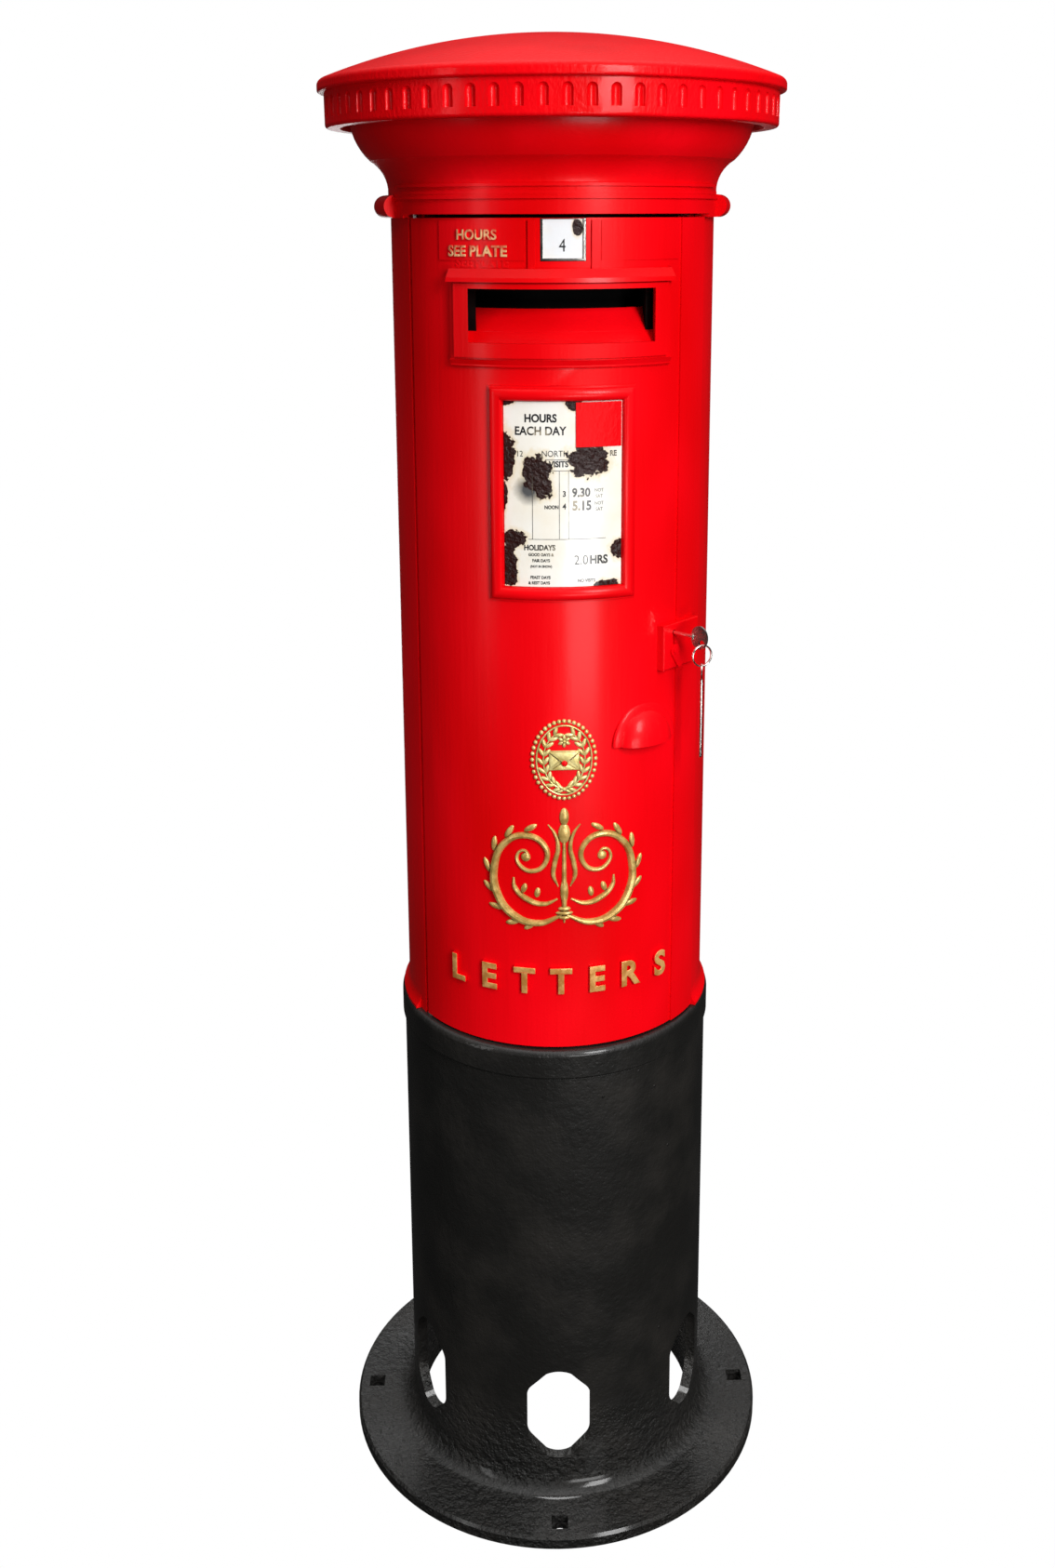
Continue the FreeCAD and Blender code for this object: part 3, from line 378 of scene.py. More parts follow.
@dataclass(frozen=True)
class Enamel:
    """White vitreous enamel, flaked down to brown rust at its chips and stained grey at its smears."""

    name: str
    chips: tuple[Chip, ...]
    smears: tuple[Chip, ...] = ()
    white: Colour = (0.84, 0.82, 0.76)
    cream: Colour = (0.74, 0.62, 0.42)
    ragged: float = 0.8

    def nearness(self, r: Recipe, patches: tuple[Chip, ...]) -> Socket:
        """Gives the distance to the nearest patch, where 1 is its edge.

        Args:
            r: The material being mixed.
            patches: The patches.

        Returns:
            A value socket.
        """
        nearest = None
        for p in patches:
            stretch = (1 / (p.half_x * MM), 0.0, 1 / (p.half_z * MM))
            offset = r.place(stretch, (p.x * MM, 0.0, p.z * MM))
            far = r.add("ShaderNodeVectorMath", {0: offset}, operation="LENGTH").outputs["Value"]
            nearest = far if nearest is None else r.number("MINIMUM", nearest, far)
        return nearest

    def mix(self) -> bpy.types.Material:
        """Mixes the enamel.

        Returns:
            The material.
        """
        r = Recipe(self.name)
        tear = r.noise(85.0, (1, 1, 1), 5.0, 0.62)
        edge = r.number("ADD", self.nearness(r, self.chips),
                        r.number("MULTIPLY", r.number("SUBTRACT", tear, 0.5), self.ragged * 2))
        yellowing = r.remap(r.noise(12.0, (1, 1, 1), 4.0), 0.42, 0.75, 0.0, 0.5)
        stain = r.blend(yellowing, self.white, self.cream)
        face = r.blend(r.remap(edge, 1.45, 1.0, 0.0, 0.75), stain, self.cream)
        if self.smears:
            soft = r.number("ADD", self.nearness(r, self.smears), r.number("MULTIPLY", tear, 0.3))
            face = r.blend(r.remap(soft, 1.15, 0.5, 0.0, 0.95), face, (0.045, 0.05, 0.06))
        rust = r.blend(r.noise(190.0, (1, 1, 1), 4.0), (0.006, 0.002, 0.0015), (0.030, 0.004, 0.002))
        flaked = r.remap(edge, 1.0, 0.96)
        body = r.blend(flaked, face, rust)
        crust = r.bump(r.number("MULTIPLY", flaked, r.noise(130.0, (1, 1, 1), 4.0)), 0.005)
        ripple = r.bump(r.noise(38.0, (1, 1, 1), 3.0), 0.0006, crust)
        rough = r.remap(flaked, 0.0, 1.0, 0.2, 0.3)
        uniform = {"Coat Weight": 0.3, "Coat Roughness": 0.08, "Specular IOR Level": 0.3}
        return r.finish(uniform, Base_Color=body, Roughness=rough, Normal=ripple)


@dataclass(frozen=True)
class Metal:
    """Bare metal with scratches, dulling and spots of tarnish."""

    name: str
    bright: Colour
    dull: Colour
    rough: tuple[float, float]
    scratch_depth: float = 0.00012
    tarnish: float = 0.4

    def mix(self) -> bpy.types.Material:
        """Mixes the metal.

        Returns:
            The material.
        """
        r = Recipe(self.name)
        cloud = r.noise(45.0, (1, 1, 1), 5.0, 0.6)
        body = r.blend(r.remap(cloud, 0.45, 0.72, 0.0, self.tarnish), self.bright, self.dull)
        fine = r.bump(r.noise(900.0, (0.15, 1, 1), 2.0), self.scratch_depth)
        dents = r.bump(r.noise(120.0, (1, 1, 1), 2.0), self.scratch_depth * 3, fine)
        return r.finish({"Metallic": 1.0}, Base_Color=body,
                        Roughness=r.remap(cloud, 0.35, 0.7, *self.rough), Normal=dents)


@dataclass(frozen=True)
class Galvanised:
    """Zinc-coated sheet with spangle."""

    name: str = "galvanised_sheet"

    def mix(self) -> bpy.types.Material:
        """Mixes the metal.

        Returns:
            The material.
        """
        r = Recipe(self.name)
        spangle = r.add("ShaderNodeTexVoronoi", {"Vector": r.place(), "Scale": 70.0}).outputs["Color"]
        tone = r.add("ShaderNodeSeparateColor", {0: spangle}).outputs[0]
        body = r.blend(tone, (0.30, 0.31, 0.32), (0.52, 0.54, 0.56))
        dust = r.noise(18.0, (1, 1, 1), 4.0)
        body = r.blend(r.remap(dust, 0.5, 0.8, 0.0, 0.6), body, (0.16, 0.13, 0.10))
        return r.finish({"Metallic": 0.9}, Base_Color=body,
                        Roughness=r.remap(tone, 0.0, 1.0, 0.34, 0.55), Normal=r.bump(dust, 0.0004))


@dataclass(frozen=True)
class Ink:
    """Fired black print on enamel, worn thin in places."""

    name: str = "fired_print"
    dense: Colour = (0.012, 0.012, 0.014)
    thin: Colour = (0.34, 0.29, 0.20)

    def mix(self) -> bpy.types.Material:
        """Mixes the print.

        Returns:
            The material.
        """
        r = Recipe(self.name)
        wear = r.noise(30.0, (1, 1, 1), 5.0)
        body = r.blend(r.remap(wear, 0.58, 0.68, 0.0, 0.9), self.dense, self.thin)
        return r.finish({"Coat Weight": 0.3}, Base_Color=body,
                        Roughness=r.remap(wear, 0.3, 0.7, 0.2, 0.4), Normal=r.bump(wear, 0.0001))


@dataclass
class Finishes:
    """Every finish of the letter box, mixed once."""

    red: bpy.types.Material = field(init=False)
    cap_red: bpy.types.Material = field(init=False)
    black: bpy.types.Material = field(init=False)
    chute_shade: bpy.types.Material = field(init=False)
    crest_gold: bpy.types.Material = field(init=False)
    scroll_gold: bpy.types.Material = field(init=False)
    letter_gold: bpy.types.Material = field(init=False)
    worn_gold: bpy.types.Material = field(init=False)
    notice: bpy.types.Material = field(init=False)
    tablet: bpy.types.Material = field(init=False)
    bright: bpy.types.Material = field(init=False)
    dark: bpy.types.Material = field(init=False)
    brass: bpy.types.Material = field(init=False)
    zinc: bpy.types.Material = field(init=False)
    ink: bpy.types.Material = field(init=False)

    def __post_init__(self) -> None:
        """Mixes them all."""
        deep, bright = (0.66, 0.0002, 0.0012), (0.86, 0.0008, 0.0055)
        self.red = GlossPaint("letter_red", deep, bright).mix()
        self.cap_red = GlossPaint("cap_red", deep, bright, peel_depth=0.0009, peel_scale=190.0,
                                  coat=0.12, coat_rough=0.1).mix()
        self.black = FoundryBlack().mix()
        self.chute_shade = ShadeBlack().mix()
        self.crest_gold = GoldPaint("crest_gold", (0.82, 0.70, 0.30), (0.60, 0.47, 0.15)).mix()
        self.scroll_gold = GoldPaint("scroll_gold", (0.68, 0.47, 0.15), (0.44, 0.28, 0.07)).mix()
        self.letter_gold = GoldPaint("letter_gold", (0.84, 0.46, 0.15), (0.60, 0.26, 0.06)).mix()
        self.worn_gold = GoldPaint("worn_gold", (0.90, 0.56, 0.26), (0.72, 0.12, 0.05)).mix()
        self.notice = Enamel("notice_enamel", (
            Chip(-81, 1720, 13, 36), Chip(-38, 1697, 20, 26), Chip(-30, 1678, 15, 20),
            Chip(36, 1714, 29, 25), Chip(-84, 1662, 6, 24), Chip(-70, 1601, 17, 13),
            Chip(-79, 1566, 13, 30), Chip(-72, 1548, 8, 14), Chip(62, 1532, 21, 8),
            Chip(84, 1583, 16, 14), Chip(14, 1794, 12, 11), Chip(-82, 1797, 12, 7),
        ), smears=(Chip(-48, 1672, 24, 24),)).mix()
        self.tablet = Enamel("tablet_enamel", (Chip(20, 2032, 7, 12),), white=(0.78, 0.80, 0.82),
                             ragged=0.3).mix()
        self.bright = Metal("bright_steel", (0.80, 0.77, 0.72), (0.40, 0.36, 0.30), (0.14, 0.26),
                            scratch_depth=0.00004).mix()
        self.dark = Metal("oiled_steel", (0.36, 0.35, 0.34), (0.13, 0.09, 0.06), (0.3, 0.5),
                          tarnish=0.8).mix()
        self.brass = Metal("worn_brass", (0.80, 0.60, 0.26), (0.38, 0.26, 0.11), (0.22, 0.4)).mix()
        self.zinc = Galvanised().mix()
        self.ink = Ink().mix()


# ---- making pieces ------------------------------------------------------------------
def absorb(work: bmesh.types.BMesh, other: bmesh.types.BMesh | bpy.types.Mesh) -> None:
    """Adds another mesh to a bmesh, and frees or removes the other.

    Args:
        work: The mesh that grows.
        other: The mesh that is used up.
    """
    mesh = other
    if isinstance(other, bmesh.types.BMesh):
        mesh = bpy.data.meshes.new("part")
        other.to_mesh(mesh)
        other.free()
    work.from_mesh(mesh)
    bpy.data.meshes.remove(mesh)


def wrap_round(work: bmesh.types.BMesh, radius: float) -> None:
    """Bends a flat design round the post: x runs along the surface, z up, and -y stands proud.

    Args:
        work: The flat design, in metres.
        radius: The radius that the design's y = 0 lies on.
    """
    for vert in work.verts:
        turn, reach = vert.co.x / radius, radius - vert.co.y
        vert.co = Vector((reach * math.sin(turn), -reach * math.cos(turn), vert.co.z))


def slice_upright(work: bmesh.types.BMesh, step: float) -> None:
    """Cuts a flat design by upright planes, so that it can bend.

    Args:
        work: The design.
        step: Distance between the planes.
    """
    xs = [v.co.x for v in work.verts]
    first, last = math.ceil(min(xs) / step), math.floor(max(xs) / step)
    for i in range(first, last + 1):
        geom = work.verts[:] + work.edges[:] + work.faces[:]
        bmesh.ops.bisect_plane(work, geom=geom, dist=1e-6, plane_co=(i * step, 0, 0), plane_no=(1, 0, 0))


def piece(name: str, work: bmesh.types.BMesh, body: str, materials: list[bpy.types.Material],
          replaces: tuple[str, ...] = (), sharp: float = 35.0) -> None:
    """Makes an object of a bmesh, dresses it and lets it ride on a CAD body.

    Args:
        name: The piece's name.
        work: Its mesh in the row frame. It is freed.
        body: The CAD body that it rides on.
        materials: Its finishes, in the order of its faces' material numbers.
        replaces: CAD nodes that it stands for.
        sharp: Edges that turn by more than this many degrees stay sharp.
    """
    mesh = bpy.data.meshes.new(name)
    work.to_mesh(mesh)
    work.free()
    for material in materials:
        mesh.materials.append(material)
    mesh.shade_smooth()
    mesh.set_sharp_from_angle(angle=math.radians(sharp))
    made = bpy.data.objects.new(name, mesh)
    bpy.context.scene.collection.objects.link(made)
    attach(made, body)
    if replaces:
        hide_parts(*replaces)
    LOG.info("%s rides on %s with %d faces", name, body, len(mesh.polygons))


def mesh_of(data: bpy.types.Curve) -> bpy.types.Mesh:
    """Turns curve or text data into a mesh.

    Args:
        data: The curve. It is removed.

    Returns:
        The mesh.
    """
    holder = bpy.data.objects.new("outline", data)
    mesh = bpy.data.meshes.new_from_object(holder)
    bpy.data.objects.remove(holder)
    bpy.data.curves.remove(data)
    return mesh


def words(text: str, height: float, depth: float, centre: tuple[float, float], weight: float = 0.0,
          narrow: float = 1.0, soft: float = 0.0) -> bmesh.types.BMesh:
    """Makes flat upright lettering.

    Args:
        text: The words.
        height: Height of a capital.
        depth: How far it stands proud.
        centre: Its middle along the surface, and its foot's height.
        weight: Extra thickness of the strokes, as a share of the height.
        narrow: Width factor.
        soft: Rounding of the front edges, as a share of the height.

    Returns:
        The lettering, with its back on y = 0.
    """
    font = bpy.data.curves.new("lettering", "FONT")
    font.body, font.align_x, font.resolution_u = text, "CENTER", 4
    font.extrude, font.offset, font.bevel_depth, font.bevel_resolution = 0.05, weight, soft, 2
    work = bmesh.new()
    absorb(work, mesh_of(font))
    bmesh.ops.remove_doubles(work, verts=work.verts, dist=1e-5)
    low = [min(v.co[i] for v in work.verts) for i in range(3)]
    high = [max(v.co[i] for v in work.verts) for i in range(3)]
    grow = height / (high[1] - low[1])
    bmesh.ops.translate(work, verts=work.verts, vec=(-(low[0] + high[0]) / 2, -low[1], -low[2]))
    bmesh.ops.scale(work, verts=work.verts, vec=(grow * narrow, grow, depth / (high[2] - low[2])))
    bmesh.ops.rotate(work, verts=work.verts, cent=(0, 0, 0), matrix=Matrix.Rotation(math.pi / 2, 3, "X"))
    bmesh.ops.translate(work, verts=work.verts, vec=(centre[0], 0, centre[1]))
    return work


def stroke(points: list[Triple], flat: float = 0.5, closed: bool = False) -> bmesh.types.BMesh:
    """Makes a calligraphic stroke that swells and thins.

    Args:
        points: (x, z, width) along the stroke, in millimetres.
        flat: Its depth as a share of its width.
        closed: True for a loop.

    Returns:
        The stroke, half sunk into y = 0.
    """
    curve = bpy.data.curves.new("stroke", "CURVE")
    curve.dimensions, curve.bevel_depth, curve.bevel_resolution = "3D", 1.0, 3
    curve.resolution_u, curve.use_fill_caps = 9, True
    line = curve.splines.new("BEZIER")
    line.bezier_points.add(len(points) - 1)
    for at, (x, z, width) in zip(line.bezier_points, points):
        at.co, at.radius = (x * MM, 0, z * MM), width * MM / 2
        at.handle_left_type = at.handle_right_type = "AUTO"
    line.use_cyclic_u = closed
    work = bmesh.new()
    absorb(work, mesh_of(curve))
    bmesh.ops.scale(work, verts=work.verts, vec=(1, flat * 2, 1))
    bmesh.ops.recalc_face_normals(work, faces=work.faces)
    return work


def lump(work: bmesh.types.BMesh, x: float, z: float, half: Triple, turn: float = 0.0,
         rise: float = 0.0) -> None:
    """Adds a rounded lump, such as a leaf or a bead.

    Args:
        work: The mesh that it joins.
        x: Its middle along the surface, in millimetres.
        z: Its middle's height, in millimetres.
        half: Its half length, half depth and half width, in millimetres.
        turn: Its turn in the surface, in degrees anticlockwise.
        rise: How far its middle stands proud, in millimetres.
    """
    scale = Matrix.Diagonal((half[0] * MM, half[1] * MM, half[2] * MM, 1.0))
    spin = Matrix.Rotation(-math.radians(turn), 4, "Y")
    at = Matrix.Translation((x * MM, -rise * MM, z * MM))
    bmesh.ops.create_uvsphere(work, u_segments=12, v_segments=8, radius=1.0, matrix=at @ spin @ scale)


def plate(outline: list[tuple[float, float]], depth: float, edge: float,
          rise: float = 0.0) -> bmesh.types.BMesh:
    """Makes a flat plate with softened edges.

    Args:
        outline: (x, z) corners, anticlockwise seen from the front, in millimetres.
        depth: Its thickness, in millimetres.
        edge: Size of its edge rounding, in millimetres.
        rise: How far its back stands proud, in millimetres.

    Returns:
        The plate.
    """
    work = bmesh.new()
    back = work.faces.new([work.verts.new((x * MM, -rise * MM, z * MM)) for x, z in outline])
    grown = bmesh.ops.extrude_face_region(work, geom=[back])["geom"]
    front = [item for item in grown if isinstance(item, bmesh.types.BMVert)]
    bmesh.ops.translate(work, verts=front, vec=(0, -depth * MM, 0))
    bmesh.ops.recalc_face_normals(work, faces=work.faces)
    bmesh.ops.bevel(work, geom=work.edges[:], offset=edge * MM, segments=3, profile=0.5,
                    affect="EDGES", material=-1)
    return work


def inset(work: bmesh.types.BMesh, face: bmesh.types.BMFace, thickness: float, depth: float) -> None:
    """Shrinks a face inside a new border, and moves it along its normal.

    Args:
        work: The mesh.
        face: The face.
        thickness: Width of the border, in metres.
        depth: How far the face moves outwards, in metres.
    """
    bmesh.ops.inset_region(work, faces=[face], thickness=thickness, depth=depth, use_boundary=True,
                           use_even_offset=True)


def number_faces(work: bmesh.types.BMesh, first: int, number: int) -> None:
    """Gives every face from a place in the list on a material number.

    Args:
        work: The mesh.
        first: How many faces to pass over.
        number: The material number.
    """
    work.faces.ensure_lookup_table()
    for face in work.faces[first:]:
        face.material_index = number


def paint_faces(work: bmesh.types.BMesh, facing: float, number: int) -> None:
    """Gives the faces that look outwards from the post a material number.

    Args:
        work: The wrapped mesh.
        facing: How squarely a face must look outwards, from 0 to 1.
        number: The material number.
    """
    work.normal_update()
    for face in work.faces:
        middle = face.calc_center_median()
        outward = Vector((middle.x, middle.y, 0)).normalized()
        if face.normal.dot(outward) > facing:
            face.material_index = number


# ---- sub-assemblies -----------------------------------------------------------------
@dataclass
class Ironwork:
    """The CAD nodes, each with its finish."""

    finishes: Finishes
    nodes: dict

    def dress(self) -> None:
        """Gives every CAD node its finish."""
        f = self.finishes
        table = {
            f.black: ("root_casting", "plinth_ring"),
            f.red: ("carcase", "door_casting", "aperture_sill", "notice_frame", "keyhole_cover",
                    "cover_pivot"),
            f.cap_red: ("cap_casting", "blank_tablet"),
            # painted shade: the letter chute gets near-black paint for the dark inside of the slot
            f.chute_shade: ("letter_chute",),
            f.crest_gold: ("crest_ornament",),
            f.scroll_gold: ("scroll_ornament",),
            f.letter_gold: ("raised_letters",),
            f.notice: ("notice_plate",),
            f.tablet: ("number_tablet",),
            f.bright: ("tablet_tray", "lock_key", "key_ring", "spare_key"),
            f.dark: ("tie_bolts", "cap_bolts", "upper_hinge_pin", "lower_hinge_pin", "chute_screws",
                     "frame_studs", "lock_case", "lock_cover", "lock_screws", "lock_keep", "keep_screws",
                     "thrust_washer", "lever_springs"),
            f.brass: ("levers", "lock_bolt"),
            f.zinc: ("mail_floor", "wire_guard"),
        }
        finish_of = {node: finish for finish, names in table.items() for node in names}
        for name, node in self.nodes.items():
            node.data.materials.clear()
            node.data.materials.append(finish_of[name])
            LOG.info("%s is dressed in %s", name, finish_of[name].name)


@dataclass
class Crest:
    """Oval medallion with a sealed letter in a laurel wreath. Sizes in millimetres."""

    finishes: Finishes
    radius: float
    middle: float = 1273.0
    half_width: float = 45.5
    half_height: float = 58.5
    beads: int = 40
    leaves: int = 9

    def bed(self) -> bmesh.types.BMesh:
        """Makes the dished oval that everything lies on.

        Returns:
            The bed.
        """
        work = bmesh.new()
        bmesh.ops.create_circle(work, cap_ends=True, segments=56, radius=1.0,
                                matrix=Matrix.Rotation(math.pi / 2, 4, "X"))
        size = (self.half_width * MM, 1, self.half_height * MM)
        bmesh.ops.scale(work, verts=work.verts, vec=size)
        for face in work.faces:
            if face.normal.y > 0:
                face.normal_flip()
        for thick, rise in ((0.0001, 0.0024), (0.0016, 0.0008), (0.006, -0.0012), (0.010, 0.0004)):
            face = max(work.faces, key=lambda f: len(f.verts))
            inset(work, face, thick, rise)
        bmesh.ops.translate(work, verts=work.verts, vec=(0, 0, self.middle * MM))
        return work

    def rims(self, work: bmesh.types.BMesh) -> None:
        """Adds the pearled border and the plain ring inside it.

        Args:
            work: The crest's mesh.
        """
        for i in range(self.beads):
            angle = math.tau * i / self.beads
            lump(work, (self.half_width + 0.6) * math.cos(angle),
                 self.middle + (self.half_height + 0.6) * math.sin(angle), (3.3, 3.6, 3.3), 0, 1.4)
        wide, tall = self.half_width - 5.5, self.half_height - 5.5
        inner = [(wide * math.cos(a), self.middle + tall * math.sin(a), 3.0)
                 for a in (math.tau * i / 16 for i in range(16))]
        ring = stroke(inner, 0.9, True)
        bmesh.ops.translate(ring, verts=ring.verts, vec=(0, -0.0024, 0))
        absorb(work, ring)

    def wreath(self, work: bmesh.types.BMesh) -> None:
        """Adds two laurel branches, tied below.

        Args:
            work: The crest's mesh.
        """
        wide, tall = self.half_width - 15.5, self.half_height - 15
        for side in (-1, 1):
            stem = []
            for i in range(self.leaves):
                angle = math.radians(-80 + 142 * i / (self.leaves - 1))
                x, z = side * wide * math.cos(angle), self.middle + tall * math.sin(angle)
                stem.append((x, z, 3.4 - 1.4 * i / self.leaves))
                run = math.degrees(math.atan2(tall * math.cos(angle), -side * wide * math.sin(angle)))
                for spread in (-38, 38):
                    lean = math.radians(run + spread)
                    lump(work, x + 6.5 * math.cos(lean), z + 6.5 * math.sin(lean), (7.6, 2.6, 3.1),
                         run + spread, 2.6)
            branch = stroke(stem, 0.9)
            bmesh.ops.translate(branch, verts=branch.verts, vec=(0, -0.002, 0))
            absorb(work, branch)
        tie = self.middle - tall - 1
        for turn in (28, -28, 152, -152):
            lean = math.radians(turn)
            lump(work, 6 * math.cos(lean), tie + 6 * math.sin(lean), (6.5, 2.2, 2.2), turn, 3.4)
        lump(work, 0, tie, (3, 3, 3), 0, 4.2)

    def letter(self, work: bmesh.types.BMesh) -> None:
        """Adds the folded letter: its sheet, three lower folds and the flap.

        Args:
            work: The crest's mesh.
        """
        x, low, high = 22.0, self.middle - 15.5, self.middle + 14.5
        absorb(work, plate([(-x, low), (x, low), (x, high), (-x, high)], 4.6, 1.0))
        gap, tip = 1.5, self.middle - 1.0
        side = [(x - gap, low + 4), (x - gap, high - 4), (8, tip + 0.5)]
        absorb(work, plate(side, 1.0, 0.4, 4.4))
        absorb(work, plate([(-px, pz) for px, pz in reversed(side)], 1.0, 0.4, 4.4))
        absorb(work, plate([(-x + 5, low + gap), (x - 5, low + gap), (0, tip - 1)], 1.6, 0.5, 4.4))
        absorb(work, plate([(0, tip - 4), (x - 1, high - gap), (-x + 1, high - gap)], 2.6, 0.7, 4.4))

    def star(self, work: bmesh.types.BMesh) -> None:
        """Adds the small rosette over the letter.

        Args:
            work: The crest's mesh.
        """
        petals, centre = 6, self.middle + 29
        for i in range(petals):
            turn = 360 * i / petals + 90
            lean = math.radians(turn)
            lump(work, 5.2 * math.cos(lean), centre + 5.2 * math.sin(lean), (4.8, 2.6, 2.7), turn, 2.4)
        lump(work, 0, centre, (2.6, 2.8, 2.6), 0, 4.0)

    def build(self) -> None:
        """Builds the crest."""
        work = self.bed()
        plain = len(work.faces)
        self.rims(work)
        self.wreath(work)
        self.letter(work)
        self.star(work)
        number_faces(work, plain, 1)
        gilded = len(work.faces)
        lump(work, 0, self.middle - 4, (4.4, 2.0, 4.4), 0, 7.0)
        number_faces(work, gilded, 0)
        wrap_round(work, self.radius)
        piece("crest", work, "door", [self.finishes.red, self.finishes.crest_gold],
              ("crest_ornament",))


@dataclass
class Scrollwork:
    """A lyre of two leafy fronds round a bud. Sizes in millimetres."""

    finishes: Finishes
    radius: float
    base: float = 1008.0

    def half(self) -> list[list[Triple]]:
        """Gives the strokes of the right half, as (x, height above the base, width)."""
        return [
            [(4, 20, 5), (38, 7, 10), (76, 17, 12.5), (102, 50, 13), (106, 92, 12), (90, 130, 11),
             (58, 146, 10), (30, 132, 9), (27, 106, 8), (46, 90, 7), (66, 98, 6), (70, 114, 5),
             (60, 122, 4.5), (52, 114, 4)],
            [(10, 46, 3), (30, 38, 7), (54, 44, 9), (74, 62, 7), (76, 78, 3)],
            [(9, 66, 2), (16, 84, 7), (14, 104, 8), (9, 128, 7), (14, 150, 5), (24, 164, 2)],
        ]

    def leaves(self) -> list[tuple[float, float, float, float]]:
        """Gives the leaves of the right half, as (x, height above the base, length, lean in degrees)."""
        return [(52, 2, 10, -35), (78, 6, 11, -12), (104, 28, 12, 12), (115, 58, 12, 42),
                (118, 92, 12, 68), (106, 128, 12, 96), (82, 150, 12, 122), (50, 158, 11, 150),
                (60, 62, 8, 110), (40, 56, 8, 100)]

    def build(self) -> None:
        """Builds the fronds."""
        work = bmesh.new()
        for side in (-1, 1):
            for points in self.half():
                absorb(work, stroke([(side * x, self.base + z, width) for x, z, width in points], 0.6))
            lump(work, side * 57, self.base + 112, (7, 4.0, 7), 0, 0.8)
            for x, z, length, lean in self.leaves():
                turn = lean if side > 0 else 180 - lean
                lump(work, side * x, self.base + z, (length, 2.8, 4.4), turn, 0.6)
        for z, width, height in ((176, 7, 14), (150, 9, 16), (58, 6, 20)):
            lump(work, 0, self.base + z, (height, 3.8, width), 90, 0.8)
        stem = [(0, self.base + z, width) for z, width in ((8, 3), (40, 8), (90, 7), (140, 5))]
        absorb(work, stroke(stem, 0.6))
        for z in (-7, 0, 7):
            lump(work, 0, self.base + 24 + z, (13 - abs(z) / 2, 4.6, 3.4), 0, 1.2)
        slice_upright(work, SLICE)
        wrap_round(work, self.radius)
        piece("scrollwork", work, "door", [self.finishes.scroll_gold], ("scroll_ornament",))


@dataclass
class RaisedWords:
    """The cast words on the door, gilded on their faces only. Sizes in millimetres."""

    finishes: Finishes
    radius: float
    word: str = "LETTERS"
    foot: float = 901.0
    height: float = 42.0
    pitch_degrees: float = 13.0
    shift_degrees: float = -1.2
    proud: float = 5.6
    facing: float = 0.72
    small_degrees: float = -29.0
    small_proud: float = 2.6
    small_lift: float = 1.4
    ghost_degrees: float = -27.5

    def bottom_word(self) -> None:
        """Builds the large word, a letter at a time."""
        work = bmesh.new()
        for i, letter in enumerate(self.word):
            turn = math.radians(self.shift_degrees + (i - (len(self.word) - 1) / 2) * self.pitch_degrees)
            at = (turn * self.radius, self.foot * MM)
            absorb(work, words(letter, self.height * MM, self.proud * MM, at, 0.022, 0.92, 0.018))
        wrap_round(work, self.radius)
        paint_faces(work, self.facing, 1)
        piece("bottom_word", work, "door", [self.finishes.red, self.finishes.letter_gold],
              ("raised_letters",))

    def small_words(self) -> None:
        """Builds the two small lines near the top of the door, and the ghost of an older line."""
        work = bmesh.new()
        middle, proud = math.radians(self.small_degrees) * self.radius, self.small_proud * MM
        for text, foot, height in (("HOURS", 2015.5, 14.5), ("SEE PLATE", 1993.0, 15.5)):
            absorb(work, words(text, height * MM, proud, (middle, foot * MM), 0.014, 1.0, 0.02))
        slice_upright(work, SLICE)
        wrap_round(work, self.radius + self.small_lift * MM)
        paint_faces(work, self.facing, 1)
        piece("small_words", work, "door", [self.finishes.red, self.finishes.worn_gold])
        middle = math.radians(self.ghost_degrees) * self.radius
        ghost = words("SEE PLATE", 14 * MM, 1.0 * MM, (middle, 1978 * MM), 0.01, 1.0, 0.03)
        slice_upright(ghost, SLICE)
        wrap_round(ghost, self.radius)
        piece("painted_over_words", ghost, "door", [self.finishes.red])


